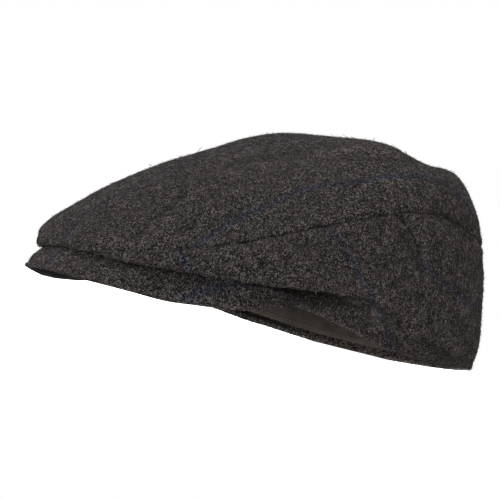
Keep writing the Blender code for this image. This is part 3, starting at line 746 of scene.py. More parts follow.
# Up to this, the wear and painted light shift the tone; past it, they brighten the colour by this gain,
# which is the painted light on the hem inside
PALE_TONE, PALE_GAIN = 0.06, 8.0


def cloth_mm(tree):
    """A place on the flat cloth in millimetres: across its width and along its length."""
    flat = put(tree, "UVMap", uv_map="cloth")
    return put(tree, "VectorMath", {0: flat, "Scale": 1000.0}, operation="SCALE")


def flecks(turned, seed):
    """Short streaks along one diagonal of the tweed."""
    turned_mm = put(tree, "VectorRotate", {0: mm, "Angle": math.radians(turned)}, rotation_type="Z_AXIS")
    drawn = put(tree, "VectorMath", (turned_mm, (1 / FLECK_LONG, 1 / FLECK_WIDE, 0)), operation="MULTIPLY")
    moved = put(tree, "VectorMath", (drawn, (seed, seed * 2.3, 0)), operation="ADD")
    return put(
        tree, "TexNoise", {0: moved, "Scale": 1.0, "Detail": 1.0, "Roughness": 0.6}, noise_dimensions="2D",
    )


def from_stripe(tree, across):
    """How far a place is from the middle of the nearest navy stripe, in millimetres."""
    wrapped = put(tree, "Math", (across, STRIPE_PITCH / 2, -STRIPE_PITCH / 2), operation="WRAP")
    return put(tree, "Math", (wrapped,), operation="ABSOLUTE")


def added_up(tree, *parts):
    """The sum of patterns, each times its share."""
    total = None
    for pattern, share in parts:
        part = put(tree, "Math", (pattern, share), operation="MULTIPLY")
        total = part if total is None else put(tree, "Math", (total, part), operation="ADD")
    return total


tweed, tree, shader = cloth_material(
    "wool_tweed", Roughness=0.95, Specular_IOR_Level=0.02, Sheen_Weight=0.012, Sheen_Roughness=0.5,
    Sheen_Tint=linear("#CFC6BA"), IOR=1.45,
)
mm = cloth_mm(tree)
across_cloth, along_cloth = put(tree, "SeparateXYZ", (mm,)).outputs[:2]
zigzag = put(tree, "Math", (across_cloth, HERRINGBONE), operation="PINGPONG")
slanted = put(tree, "Math", (along_cloth, zigzag), operation="ADD")
rib_place = put(tree, "Math", (slanted, 2 * math.pi / TWILL), operation="MULTIPLY")
rib = put(tree, "Math", (rib_place,), operation="SINE")
fleck_a, fleck_b = flecks(FLECKS_TURNED[0], 3.1), flecks(FLECKS_TURNED[1], 7.7)
fleck = put(tree, "Math", (fleck_a, fleck_b), operation="MAXIMUM")
grain = put(
    tree, "TexNoise", {0: mm, "Scale": 1 / GRAIN, "Detail": 2.0, "Roughness": 0.7}, noise_dimensions="2D",
)
melange = put(
    tree, "TexNoise", {0: mm, "Scale": 1 / MELANGE, "Detail": 2.0, "Roughness": 0.6}, noise_dimensions="2D",
)
tuft_colour = put(tree, "TexVoronoi", {0: mm, "Scale": 1 / TUFT}, voronoi_dimensions="2D").outputs["Color"]
tuft = put(tree, "SeparateXYZ", (tuft_colour,))

# A stripe's edges are ragged, and other yarns cross over it and break it up
ragged = put(tree, "Math", (grain, 0.5), operation="SUBTRACT")
ragged = put(tree, "Math", (ragged, STRIPE_RAGGED), operation="MULTIPLY")
ragged = put(tree, "Math", (from_stripe(tree, across_cloth), ragged), operation="ADD")
in_stripe = put(
    tree, "MapRange", (ragged, STRIPE_HALF_WIDTH - 1.3, STRIPE_HALF_WIDTH + 1.3, 1.0, 0.0),
    interpolation_type="SMOOTHSTEP",
)
broken = put(tree, "MapRange", (melange, 0.34, 0.58, 0.45, 1.0))
in_stripe = put(tree, "Math", (in_stripe, broken), operation="MULTIPLY")

# The tone of a place picks its shade of wool, which a hue of its own tints
# The tone that the pieces carry: wear, with painted light and shade
wear_and_shade = put(tree, "Attribute", attribute_name="wear_and_shade").outputs["Fac"]
tone = added_up(
    tree, (fleck, 0.62), (grain, 0.36), (tuft, 0.24), (melange, 0.12), (rib, 0.018), (in_stripe, 0.022),
)
tone_worn_or_shaded = put(tree, "Math", (wear_and_shade, PALE_TONE), operation="MINIMUM")
tone = put(tree, "Math", (tone, tone_worn_or_shaded), operation="ADD")
wools = put(tree, "ValToRGB", (tone,), stops=(
    (0.59, "#070606"), (0.67, "#0F0E0E"), (0.73, "#1A1817"), (0.79, "#292625"), (0.87, "#3C3735"),
    (0.97, "#58524E"),
))
hue_patches = put(
    tree, "TexNoise", {0: mm, "Scale": HUE_PER_MM, "Detail": 3.0, "Roughness": 0.7}, noise_dimensions="2D",
)
hue = put(tree, "ValToRGB", (hue_patches,), stops=((0.34, "#E9F1FF"), (0.50, "#F7FAEF"), (0.66, "#FFEFEA")))
wool = put(tree, "Mix", {"Factor": 0.8, 6: wools, 7: hue}, data_type="RGBA", blend_type="MULTIPLY")
navy = put(
    tree, "Mix", {"Factor": 1.0, 6: wools, 7: linear("#C0D1F2")}, data_type="RGBA", blend_type="MULTIPLY",
)
colour = put(
    tree, "Mix", {"Factor": in_stripe, 6: wool.outputs[2], 7: navy.outputs[2]}, data_type="RGBA",
).outputs[2]
past_tone = put(tree, "Math", (wear_and_shade, PALE_TONE), operation="SUBTRACT")
past_tone = put(tree, "Math", (past_tone, 0.0), operation="MAXIMUM")
gain = put(tree, "Math", (past_tone, PALE_GAIN, 1.0), operation="MULTIPLY_ADD")
colour = put(tree, "VectorMath", {0: colour, "Scale": gain}, operation="SCALE")
tree.links.new(colour.outputs[0], shader.inputs["Base Color"])
height = added_up(tree, (fleck, 0.8), (grain, 0.6), (rib, 0.10))
bump = put(tree, "Bump", {"Strength": 0.8, "Distance": 0.0007, "Height": height})
tree.links.new(bump.outputs[0], shader.inputs["Normal"])

# How far the top panel's stripes bow out over the dents, by place along the cloth from its apex
BOW_ROWS = (
    (-0.140, 1.08), (-0.100, 1.005), (-0.066, 1.0), (-0.050, 1.09), (-0.034, 1.18), (-0.011, 1.21),
    (0.12, 1.21),
)


def place_top(direction, share, inside):
    """share runs from the top seam to the apex. Gives points, places on the flat cloth, and wear with
    painted light.
    """
    seam = top_seam(direction)
    station = seam + (STATIONS - seam) * share
    from_seam = up_from_rim(direction, station) - up_from_rim(direction, seam)
    stretch = sample(STRETCH, direction, station)[..., 0]
    flat = crown_point(direction, station)[..., :2] * stretch[..., None]
    cloth = np.stack([flat[..., 0] / row_curve(BOW_ROWS, flat[..., 1]), flat[..., 1]], -1)
    points, pale = crown_cloth(direction, station, inside, drawn_in(from_seam), from_seam)
    return points, cloth, pale


top_rows = spread(low=0.012, high=0.012, count=84, ends=5)
top_inside = spread(low=0.012, high=0.02, count=26, ends=3)
top_panel = lay_cloth(
    "crown_top_panel", np.linspace(0, 360, 541), both_faces(top_rows[::-1], top_inside), place_top,
)
top_panel.data.materials.append(tweed)
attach(top_panel, "root")
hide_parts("top_panel")


# Side panels
# Two strips of the same tweed, from the middle of the front under the fold to the seams behind the
# ears. Each is cut on the slant, so its navy stripes run down and back, and its lower edge is turned
# in as a hem.
BACK_SEAM_ROWS = ((0.0, 92.0), (2.5, 90.0), (4.0, 88.0), (4.8, 88.5), (5.3, 86.0), (6.0, 75.0), (6.5, 68.0))
# The cut: how far the stripes run forward for each metre up, where along the rim one starts, how far
# apart they are there, and how they turn towards the front, where the panel is stretched under the fold
SIDE_SLANT = 1.098
SIDE_STRIPE_AT = 0.1904
SIDE_STRIPE_STEP = 0.0702
SIDE_FRONT_TURN = 0.431
SIDE_FRONT_PIVOT = 0.0454
SIDE_FRONT_TO, SIDE_FRONT_OVER = 55, 20
RIM_ROUNDING = 0.0017
# The inside of the hem is paler in the light of the opening, and a seam's groove is narrow in the hem
HEM_PALE = 0.20
GROOVE_IN_HEM = 0.3


def back_seam(station):
    """Direction of the left back seam at a station of the crown."""
    return row_curve(BACK_SEAM_ROWS, station)


def lower_panel(start, end, to_cloth):
    """A place function for a panel below the top seam, between two directions that follow the station."""

    def place(across, share, inside):
        """share runs from the rim to the top seam, across from one side of the panel to the other."""
        marks = 6 * share
        first, last = start(marks), end(marks)
        direction = first + (last - first) * across
        above = start(6.0) + (end(6.0) - start(6.0)) * across
        station = top_seam(above) * share
        height = up_from_rim(direction, station)
        from_top = np.abs(up_from_rim(direction, top_seam(above)) - height)
        point = crown_point(direction, station)
        width = np.radians(last - first) * np.hypot(point[..., 0], point[..., 1])
        from_side = width * np.minimum(across, 1 - across)
        groove = SEAM_GROOVE * (GROOVE_IN_HEM + (1 - GROOVE_IN_HEM) * ease(height / HEM_HEIGHT))
        fullness = drawn_in(from_top) * drawn_in(from_side, groove) * rolled(height, RIM_ROUNDING)
        points, pale = crown_cloth(direction, station, inside, fullness, np.minimum(from_top, from_side))
        return points, to_cloth(direction, height), pale + HEM_PALE * inside

    return place


def side_cloth(direction, height):
    """Cloth coordinates on the slant, the same on both sides."""
    along = around_crown(folded(direction))
    at_front = ease((SIDE_FRONT_TO - folded(direction)) / SIDE_FRONT_OVER)
    slanted = SIDE_SLANT * height - SIDE_FRONT_TURN * at_front * (height - SIDE_FRONT_PIVOT)
    across_stripe = (along + slanted - SIDE_STRIPE_AT) * STRIPE_PITCH / 1000 / SIDE_STRIPE_STEP
    return np.stack([across_stripe, (height - SIDE_SLANT * along) / math.hypot(1, SIDE_SLANT)], -1)


panel_rows = spread(low=0.03, high=0.016, count=96, ends=5)
panel_inside = spread(low=0.03, high=0.016, count=30, ends=4)
panel_loop = both_faces(panel_rows[::-1], panel_inside)
side_columns = spread(low=0.006, high=0.006, count=150, ends=4)
for side, start, end in (
    ("left", lambda s: 0 * s, back_seam),
    ("right", lambda s: 360 - back_seam(s), lambda s: 360 + 0 * s),
):
    panel = lay_cloth(
        "crown_side_panel_" + side, side_columns, panel_loop, lower_panel(start, end, side_cloth),
    )
    panel.data.materials.append(tweed)
    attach(panel, "root")
    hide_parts("side_panel_" + side)


# Back panel
# One strip of the tweed round the back of the head, between the two back seams. It is cut along the
# cloth's width, so its navy stripe runs round the crown and hangs lower in the middle.
BACK_STRIPE_HEIGHT = 0.0280
BACK_STRIPE_CURVE = 0.84


def back_cloth(direction, height):
    """Cloth coordinates with the stripes round the back, one at its height in the middle."""
    from_middle = around_crown(direction) - around_crown(180.0)
    return np.stack([height - BACK_STRIPE_CURVE * from_middle**2 - BACK_STRIPE_HEIGHT, from_middle], -1)


back_panel = lay_cloth(
    "crown_back_panel", spread(low=0.004, high=0.004, count=230, ends=4), panel_loop,
    lower_panel(back_seam, lambda s: 360 - back_seam(s), back_cloth),
)
back_panel.data.materials.append(tweed)
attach(back_panel, "root")
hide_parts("back_panel")


# Peak
# A stiff curved insert with tweed on both faces, sewn along its edge and set in between the side
# panels and the sweatband. Its edge is a soft roll with the seam on its lower side.
PEAK_NOSE = 0.0006
PEAK_ROUNDING, PEAK_END_ROUNDING = 0.55 * PEAK_THICK, 0.0015
PEAK_SLOPE_STEP, PEAK_SLOPES = 0.0004, (-1.5, 0.5)
PEAK_UNEVEN, PEAK_UNEVEN_LENGTH, PEAK_UNEVEN_SEED = 0.00018, 0.022, 8
# Millimetres between its stripes, which the curve of the peak spreads, and the steps by which the cloth
# is measured out over it
PEAK_STRIPES = 69.5
PEAK_PATH = np.linspace(0, 1, 25)[:, None]
# The edge is paler along its seam and its roll, partly rubbed wear and partly a painted highlight, most
# on the wearer's left, and the peak has a painted shadow beside the fold that lies on it
PEAK_SEAM_PALE, PEAK_SEAM_AT, PEAK_SEAM_WIDE = 0.022, 0.0035, 0.0025
PEAK_ROLL_PALE, PEAK_ROLL_WIDE = 0.02, 0.0012
LEFT_SEAM_PALE, LEFT_ROLL_PALE, LEFT_FROM, LEFT_OVER = 0.02, 0.03, 22, 14
BESIDE_FOLD_DARK, BESIDE_FOLD_WIDE = 0.05, 0.0050


def place_peak(direction, share, inside):
    """share runs from the opening to the edge, inside 0 is the upper face and 1 the lower one."""
    a = np.radians(direction)
    inner_r = opening(direction) + PEAK_CLEARANCE
    edge_r = np.maximum(peak_edge(direction)[0], inner_r + PEAK_LEAST_DEPTH)
    thick = peak_thickness(direction)
    r = inner_r + (edge_r + PEAK_NOSE - inner_r) * share
    top, further = peak_top(direction, r), peak_top(direction, r - PEAK_SLOPE_STEP)
    slope = np.clip((top - further) / PEAK_SLOPE_STEP, *PEAK_SLOPES)
    n_r, n_z = -slope / np.sqrt(1 + slope**2), 1 / np.sqrt(1 + slope**2)
    from_edge = edge_r + PEAK_NOSE - r
    from_end = np.radians(PEAK_END - np.abs(direction)) * inner_r
    at_edge = rolled(from_edge, PEAK_ROUNDING)
    fullness = at_edge * rolled(from_end, PEAK_END_ROUNDING)
    depth = thick * (0.5 + (inside - 0.5) * fullness)
    uneven = PEAK_UNEVEN * swell(at(direction, r, 0 * r), PEAK_UNEVEN_LENGTH, PEAK_UNEVEN_SEED)
    depth = depth - uneven * (1 - inside)
    out_r, out_z = r - n_r * depth, top - n_z * depth
    out_r = np.where(share < 0.5, np.maximum(out_r, inner_r), out_r)
    points = at(direction, out_r, out_z)
    path_r = inner_r + (r - inner_r) * PEAK_PATH
    steps = np.hypot(np.diff(path_r, axis=0), np.diff(peak_top(direction, path_r), axis=0))
    over_edge = 0.5 * thick * (1 - at_edge) * np.where(inside > 0.5, -1, 1)
    cloth_r = inner_r + steps.sum(0) + over_edge
    cloth = np.stack([cloth_r * np.sin(a) * STRIPE_PITCH / PEAK_STRIPES, -cloth_r * np.cos(a)], -1)
    # A painted highlight, partly wear, along the edge's seam and roll, and a painted shadow beside the fold
    left = ease((direction - LEFT_FROM) / LEFT_OVER)
    at_seam, at_roll = bell(from_edge - PEAK_SEAM_AT, PEAK_SEAM_WIDE), bell(from_edge, PEAK_ROLL_WIDE)
    pale = (PEAK_SEAM_PALE + LEFT_SEAM_PALE * left) * at_seam
    pale = pale + (PEAK_ROLL_PALE + LEFT_ROLL_PALE * left) * at_roll
    from_lip = np.maximum(r - reach(direction) * profile_share("lip_r", direction), 0)
    shaded = BESIDE_FOLD_DARK * bell(from_lip, BESIDE_FOLD_WIDE) * row_curve(FOLD_ROWS, folded(direction))
    return points, cloth, pale - shaded


peak_shares = spread(low=0.02, high=0.075, count=44, ends=7)
peak = lay_cloth(
    "peak_covered", PEAK_END * (2 * spread(low=0.006, high=0.006, count=170, ends=4) - 1),
    both_faces(peak_shares, peak_shares[::-1]), place_peak,
)
peak.data.materials.append(tweed)
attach(peak, "root")
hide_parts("peak")


# Sweatband
# A folded strip of smooth dark cotton twill inside the rim, top-stitched to the hem along its lower
# edge. It lies against the crown's wall and leans in where the wall does.
BAND_THICK = 0.0012
BAND_GAP = 0.0004
BAND_START = 0.0055
BAND_HEIGHT = 0.0340
BAND_LEVELS, BAND_STEP = 18, 2
BAND_ROUNDING = 0.0008
BAND_RADIUS = 0.091
# The stitches draw its lower edge outwards, and above them it waves a little
BAND_DRAWN_IN, BAND_DRAWN_SHARE = 0.0006, 0.12
BAND_WAVE, BAND_WAVES = 0.00025, 9
WALL_STATIONS, WALL_NEAR = np.linspace(0, 7, 141), 0.0032

# Its radius at each direction and level: inside the hem, and inside the crown's wall near that level
band_direction = np.linspace(0, 360, 360 // BAND_STEP + 1)
band_share = np.linspace(0, 1, BAND_LEVELS)
rim_z = crown_point(band_direction, 0 * band_direction)[..., 2]
levels = rim_z[:, None] + BAND_START + BAND_HEIGHT * band_share
up_wall = WALL_STATIONS + 0 * rim_z[:, None]
wall = crown_point(band_direction[:, None], up_wall, np.full(up_wall.shape, CLOTH))
wall_r = np.hypot(wall[..., 0], wall[..., 1])
near_level = np.abs(wall[:, None, :, 2] - levels[:, :, None]) < WALL_NEAR
free_r = np.where(near_level, wall_r[:, None, :], 1).min(-1)
band_r = np.minimum(opening(band_direction)[:, None] - HEM_CLOTH, free_r) - BAND_GAP
for _ in range(3):
    smoother = (band_r[:, :-2] + 2 * band_r[:, 1:-1] + band_r[:, 2:]) / 4
    band_r[:, 1:-1] = np.minimum(band_r[:, 1:-1], smoother)


def band_radius(direction, share):
    """Radius of the band's outer face, between the places that were worked out."""
    u = np.asarray(direction, float) % 360 / BAND_STEP
    v = np.clip(share, 0, 1) * (BAND_LEVELS - 1)
    i, j = np.floor(u).astype(int), np.minimum(np.floor(v).astype(int), BAND_LEVELS - 2)
    f, g = u - i, v - j
    return (
        band_r[i, j] * (1 - f) * (1 - g) + band_r[i + 1, j] * f * (1 - g)
        + band_r[i, j + 1] * (1 - f) * g + band_r[i + 1, j + 1] * f * g
    )


def place_band(direction, share, inside):
    """share runs from the lower edge to the upper one, inside 0 faces the crown and 1 the head."""
    a = np.radians(direction)
    height = BAND_START + BAND_HEIGHT * share
    z = crown_point(direction, 0 * direction)[..., 2] + height
    fullness = rolled(BAND_HEIGHT * np.minimum(share, 1 - share), BAND_ROUNDING)
    r = band_radius(direction, share) - BAND_THICK * (0.5 + (inside - 0.5) * fullness)
    r = r - BAND_WAVE * (1 + np.sin(BAND_WAVES * a + 2 * np.sin(2 * a))) * ease(share * 4)
    r = r + BAND_DRAWN_IN * (1 - ease(share / BAND_DRAWN_SHARE))
    cloth = np.stack([a * BAND_RADIUS, height], -1)
    return at(direction, r, z), cloth, 0.0


# Dark brown-grey cotton twill, soft and a little smooth, with fine slanted lines 0.6 mm apart. It is
# palest along its lower edge and darker above it, a painted shade that deepens inside the cap.
BAND_PALE_TO, BAND_INNER_SHADE = (5.5, 14.0), 0.34

band_cotton, tree_band, shader_band = cloth_material(
    "cotton_twill", Roughness=0.72, Specular_IOR_Level=0.35, Sheen_Weight=0.08, Sheen_Roughness=0.4,
    IOR=1.5,
)
band_mm = cloth_mm(tree_band)
band_turned = put(tree_band, "VectorRotate", {0: band_mm, "Angle": 0.9}, rotation_type="Z_AXIS")
twill_lines = put(
    tree_band, "TexWave", {0: band_turned, "Scale": 0.5, "Distortion": 0.6, "Detail": 1.0},
    wave_type="BANDS",
).outputs[1]
tone_variation = put(
    tree_band, "TexNoise", {0: band_mm, "Scale": 0.12, "Detail": 3.0, "Roughness": 0.6},
    noise_dimensions="2D",
)
band_tone = added_up(tree_band, (twill_lines, 0.25), (tone_variation, 0.9))
band_up = put(tree_band, "SeparateXYZ", (band_mm,)).outputs[1]
# Painted shade, darker further up inside the cap
band_shade = put(tree_band, "MapRange", (band_up, *BAND_PALE_TO, 0.0, BAND_INNER_SHADE))
band_tone = put(tree_band, "Math", (band_tone, band_shade), operation="SUBTRACT")
cottons = put(tree_band, "ValToRGB", (band_tone,), stops=((0.12, "#1E1915"), (0.85, "#443931")))
tree_band.links.new(cottons.outputs[0], shader_band.inputs["Base Color"])
band_bump = put(tree_band, "Bump", {"Strength": 0.25, "Distance": 0.0002, "Height": twill_lines})
tree_band.links.new(band_bump.outputs[0], shader_band.inputs["Normal"])

band_rows = spread(low=0.03, high=0.03, count=22, ends=4)
sweatband = lay_cloth(
    "sweatband_ring", np.linspace(0, 360, 361), both_faces(band_rows[::-1], band_rows), place_band,
)
sweatband.data.materials.append(band_cotton)
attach(sweatband, "root")
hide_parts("sweatband")


# Stitches of the sweatband
# A lockstitch row in brown polyester thread, 2.4 mm above the band's lower edge. Each stitch is drawn
# down into the cloth at both ends.
STITCH_LONG = 0.0024
STITCH_STEP = 0.0031
STITCH_THICK = 0.00055
STITCH_ABOVE_EDGE = 0.0024
# In shares of its length, where it bends and where its ends begin; in shares of its thickness, how slim
# the ends are, how far it stands off the band and how far its ends sink in
STITCH_CUT, STITCH_END = 0.28, 0.4
STITCH_TAPER, STITCH_PROUD, STITCH_SINKS = 0.6, 0.2, 0.55

thread, tree_thread, shader_thread = cloth_material(
    "polyester_thread", Roughness=0.55, Specular_IOR_Level=0.4, Sheen_Weight=0.1, IOR=1.5,
)
thread_place = put(tree_thread, "TexCoord").outputs["Object"]
thread_noise = put(tree_thread, "TexNoise", {0: thread_place, "Scale": 900.0, "Detail": 1.0})
threads = put(tree_thread, "ValToRGB", (thread_noise,), stops=((0.35, "#332C26"), (0.65, "#453C34")))
tree_thread.links.new(threads.outputs[0], shader_thread.inputs["Base Color"])

bpy.ops.object.select_all(action="DESELECT")
bpy.ops.mesh.primitive_cylinder_add(
    vertices=6, radius=STITCH_THICK / 2, depth=STITCH_LONG, end_fill_type="NGON",
)
one_stitch = bpy.context.object
bpy.ops.object.mode_set(mode="EDIT")
for end in (1, -1):
    bpy.ops.mesh.select_all(action="SELECT")
    bpy.ops.mesh.bisect(plane_co=(0, 0, end * STITCH_LONG * STITCH_CUT), plane_no=(0, 0, 1))
bpy.ops.object.mode_set(mode="OBJECT")
stitch_points = np.array([v.co for v in one_stitch.data.vertices])
stitch_faces = [list(p.vertices) for p in one_stitch.data.polygons]
bpy.data.objects.remove(one_stitch)

low_r, low_a = band_r[:, 1], np.radians(band_direction)
lower_edge = np.stack([low_r * np.sin(low_a), low_r * np.cos(low_a)])
edge_length = np.concatenate([[0], np.cumsum(np.hypot(*np.diff(lower_edge, axis=1)))])
count = int(edge_length[-1] / STITCH_STEP)
stitch_share = np.full(2, STITCH_ABOVE_EDGE / BAND_HEIGHT)
at_end = (np.abs(stitch_points[:, 2]) > STITCH_LONG * STITCH_END)[:, None]
across_stitch = stitch_points[:, :2] * np.where(at_end, STITCH_TAPER, 1.0)
all_points, all_faces = [], []
for k in range(count):
    middle = np.interp((k + 0.5) * edge_length[-1] / count, edge_length, band_direction)
    on_band, _, _ = place_band(np.array([middle - 0.2, middle + 0.2]), stitch_share, np.ones(2))
    along = on_band[1] - on_band[0]
    along /= np.linalg.norm(along)
    a = math.radians(middle)
    inward = np.array([-math.sin(a), math.cos(a), 0])
    upward = np.cross(along, inward)
    middle_point = on_band.mean(0) + inward * STITCH_THICK * STITCH_PROUD
    moved = (
        middle_point + across_stitch[:, :1] * inward + across_stitch[:, 1:] * upward
        + stitch_points[:, 2:] * along - at_end * inward * STITCH_THICK * STITCH_SINKS
    )
    all_faces += [[i + len(all_points) * len(stitch_points) for i in face] for face in stitch_faces]
    all_points.append(moved)
stitch_mesh = bpy.data.meshes.new("sweatband_stitches")
stitch_mesh.from_pydata((np.concatenate(all_points) + TO_MIDDLE).tolist(), [], all_faces)
stitches = bpy.data.objects.new("sweatband_stitches", stitch_mesh)
bpy.context.scene.collection.objects.link(stitches)
bpy.ops.object.select_all(action="DESELECT")
bpy.context.view_layer.objects.active = stitches
stitches.select_set(True)
bpy.ops.object.mode_set(mode="EDIT")
bpy.ops.mesh.select_all(action="SELECT")
bpy.ops.mesh.normals_make_consistent(inside=False)
bpy.ops.object.mode_set(mode="OBJECT")
bpy.ops.object.shade_smooth()
stitch_mesh.materials.append(thread)
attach(stitches, "root")


# Nap
# Loose ends of wool that brushing has raised from the yarn. Most lie along the cloth in low arcs, a few
# stand out and blur the outline, and one in a hundred is long and loose. Real ones are 0.02 mm thick;
# these are drawn coarser, so that they show as the pale flecks that they make in a photo.
NAP_LONG = (0.0007, 0.0017)
NAP_THICK = (0.00007, 0.00012)
NAP_PER_MM2 = 1.52
# More fibres where the tone is paler, from wear and painted light, and fewer in painted shade
NAP_WITH_TONE, NAP_LEAST, NAP_MOST = 9.0, 0.15, 1.5
STANDING_SHARE = 0.16
STANDING_RISE, STANDING_TIP = (0.25, 0.6), (0.9, 1.5)
LYING_RISE, LYING_TIP = (0.02, 0.16), (-0.2, 0.7)
LOOSE_SHARE, LOOSE_LONGER, LOOSE_THICKER = 0.010, 2.6, 1.5
NAP_OFF_CLOTH = 0.00002
# The middle of a fibre: how far it bows aside and arches in shares of its length and rise, and how far
# it lifts and half its width in shares of its thickness
NAP_BOW, NAP_ARCH, NAP_BELLY, NAP_HALF = 0.05, 0.10, 0.8, 0.6
# Fibres of one shade lie in clumps of this size, and the nap of the top is in two pieces that meet here
NAP_CLUMP = 0.0016
TOP_NAP_SPLIT = 0.02

nap_wool, tree_nap, shader_nap = cloth_material(
    "raised_wool", Roughness=0.9, Specular_IOR_Level=0.04, Sheen_Weight=0.0, IOR=1.45,
)
nap_place = put(tree_nap, "TexCoord").outputs["Object"]
nap_clump = put(tree_nap, "VectorMath", (nap_place, (NAP_CLUMP,) * 3), operation="SNAP")
nap_noise = put(tree_nap, "TexWhiteNoise", (nap_clump,), noise_dimensions="3D")
nap_wools = put(tree_nap, "ValToRGB", (nap_noise,), stops=(
    (0.0, "#080808"), (0.40, "#181515"), (0.72, "#322E2D"), (1.0, "#57514F"),
))
nap_across = put(tree_nap, "SeparateXYZ", (cloth_mm(tree_nap),))
nap_in_stripe = put(tree_nap, "MapRange", (
    from_stripe(tree_nap, nap_across), STRIPE_HALF_WIDTH - 0.6, STRIPE_HALF_WIDTH + 0.9, 0.9, 0.0,
))
nap_colour = put(
    tree_nap, "Mix", {"Factor": nap_in_stripe, 6: nap_wools, 7: linear("#C0D0EE")},
    data_type="RGBA", blend_type="MULTIPLY",
)
tree_nap.links.new(nap_colour.outputs[2], shader_nap.inputs["Base Color"])


def raise_nap(name, piece, seed, from_y=-1.0, to_y=1.0):
    """Fibres on the outer faces of a piece between two places in y: slim, closed, pointed at both ends."""
    rng = np.random.default_rng(seed)
    mesh = piece.data
    outer = read(mesh.attributes["outer"].data, "value", bool)
    area = read(mesh.polygons, "area")
    normal, centre = read(mesh.polygons, "normal", width=3), read(mesh.polygons, "center", width=3)
    first, corner = read(mesh.polygons, "loop_start", int), read(mesh.loops, "vertex_index", int)
    pale = read(mesh.attributes["wear_and_shade"].data, "value")
    area = np.where(outer & (centre[:, 1] >= from_y) & (centre[:, 1] < to_y), area, 0)
    fibres = int(area.sum() * 1e6 * NAP_PER_MM2)
    # The fibres follow the tone, so they thin out in the painted shade and gather in the painted light
    share = area * np.clip(1 + NAP_WITH_TONE * pale[corner[first]], NAP_LEAST, NAP_MOST)
    face = rng.choice(len(area), fibres, p=share / share.sum())
    n = normal[face]
    each = (fibres, 1)
    side = rng.normal(size=(fibres, 3))
    side -= (side * n).sum(1)[:, None] * n
    side /= np.linalg.norm(side, axis=1)[:, None]
    other = np.cross(n, side)
    size = np.sqrt(area[face])[:, None]
    off_side, off_other = rng.uniform(-0.5, 0.5, each), rng.uniform(-0.5, 0.5, each)
    root = centre[face] + size * (side * off_side + other * off_other)
    length = rng.uniform(*NAP_LONG, each)
    thick = rng.uniform(*NAP_THICK, each)
    standing = rng.random(each) < STANDING_SHARE
    loose = rng.random(each) < LOOSE_SHARE
    length = np.where(loose, length * LOOSE_LONGER, length)
    thick = np.where(loose, thick * LOOSE_THICKER, thick)
    rise = np.where(standing, rng.uniform(*STANDING_RISE, each), rng.uniform(*LYING_RISE, each))
    standing_tip, lying_tip = rng.uniform(*STANDING_TIP, each), rng.uniform(*LYING_TIP, each)
    tip_rise = np.where(standing, rise * standing_tip, rise * lying_tip)
    root = root + n * NAP_OFF_CLOTH
    tip = root + side * length + n * length * tip_rise
    arch = n * (thick * NAP_BELLY + length * rise * NAP_ARCH)
    middle = (root + tip) / 2 + arch + other * length * rng.uniform(-NAP_BOW, NAP_BOW, each)
    half = other * thick * NAP_HALF
    points = np.stack([root, middle - half, middle + half, tip], 1).reshape(-1, 3)
    points[:, 2] = np.maximum(points[:, 2], 0)
    one = np.array([(0, 1, 2), (3, 2, 1), (0, 3, 1), (0, 2, 3)])
    faces = (one[None] + 4 * np.arange(fibres)[:, None, None]).reshape(-1)
    nap_mesh = bpy.data.meshes.new(name)
    nap_mesh.vertices.add(len(points))
    nap_mesh.vertices.foreach_set("co", points.ravel())
    nap_mesh.loops.add(len(faces))
    nap_mesh.loops.foreach_set("vertex_index", faces)
    nap_mesh.polygons.add(len(faces) // 3)
    nap_mesh.polygons.foreach_set("loop_start", np.arange(0, len(faces), 3))
    nap_mesh.update(calc_edges=True)
    root_uv = read(mesh.uv_layers["cloth"].data, "uv", width=2)[first[face]]
    nap_mesh.uv_layers.new(name="cloth").data.foreach_set("uv", np.repeat(root_uv, 12, axis=0).ravel())
    nap_mesh.materials.append(nap_wool)
    nap = bpy.data.objects.new(name, nap_mesh)
    bpy.context.scene.collection.objects.link(nap)
    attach(nap, "root")


raise_nap("nap_top_front", top_panel, seed=11, to_y=TOP_NAP_SPLIT)
raise_nap("nap_top_back", top_panel, seed=16, from_y=TOP_NAP_SPLIT)
raise_nap("nap_side_left", bpy.data.objects["crown_side_panel_left"], seed=12)
raise_nap("nap_side_right", bpy.data.objects["crown_side_panel_right"], seed=13)
raise_nap("nap_back", back_panel, seed=14)
raise_nap("nap_peak", peak, seed=15)


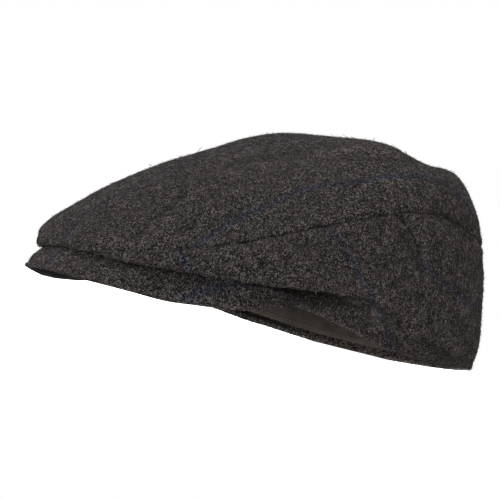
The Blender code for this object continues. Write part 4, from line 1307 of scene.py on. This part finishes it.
# Floor and studio light
# A pale table of milky acrylic, lit from below as for a picture on a white page, in white surroundings.
# It lights the hollow of the cap and the underside of the peak. The key lamp hangs above and in front of
# the cap, a low one fills the shade from the front on the wearer's left, and two weaker ones hang
# overhead and behind.
FLOOR_RADIUS = 12
FLOOR_GLOW = 1.1

bpy.ops.object.select_all(action="DESELECT")
bpy.ops.mesh.primitive_circle_add(vertices=64, radius=FLOOR_RADIUS, fill_type="NGON")
floor = bpy.context.object
floor.name = "studio_floor"
paper, tree_floor, shader_floor = cloth_material(
    "milky_acrylic", Roughness=0.9, Specular_IOR_Level=0.1, Emission_Color=(1, 1, 1, 1),
    Emission_Strength=FLOOR_GLOW,
)
paper_place = put(tree_floor, "TexCoord").outputs["Object"]
paper_noise = put(tree_floor, "TexNoise", {0: paper_place, "Scale": 6.0, "Detail": 2.0})
papers = put(tree_floor, "ValToRGB", (paper_noise,), stops=((0.0, "#D6D6D5"), (1.0, "#DADAD9")))
tree_floor.links.new(papers.outputs[0], shader_floor.inputs["Base Color"])
floor.data.materials.append(paper)

world = bpy.data.worlds.new("white_surroundings")
bpy.context.scene.world = world
world.use_nodes = True
world.node_tree.nodes["Background"].inputs["Color"].default_value = (1, 1, 1, 1)
world.node_tree.nodes["Background"].inputs["Strength"].default_value = 1.0


def soft_lamp(name, place, target, size, watts, colour=(1, 1, 1)):
    """A square area lamp that faces the target."""
    data = bpy.data.lights.new(name, "AREA")
    data.energy, data.size, data.color = watts, size, colour
    lamp = bpy.data.objects.new(name, data)
    facing = (Vector(place) - Vector(target)).to_track_quat("Z", "Y")
    lamp.matrix_world = Matrix.Translation(place) @ facing.to_matrix().to_4x4()
    bpy.context.scene.collection.objects.link(lamp)


soft_lamp("key_lamp", (-0.25, -0.70, 1.6), (0, 0, 0.05), size=0.9, watts=44.0, colour=(0.93, 0.95, 1.0))
soft_lamp("fill_lamp", (0.80, -1.00, 0.32), (0, 0, 0.03), size=0.5, watts=22.5, colour=(0.90, 0.92, 1.0))
soft_lamp("top_lamp", (0, 0.10, 1.7), (0, 0, 0.05), size=0.9, watts=15.0)
soft_lamp("rim_lamp", (-1.1, 0.7, 1.2), (0, 0, 0.08), size=0.8, watts=10.0)
bpy.context.scene.view_settings.view_transform = "Standard"
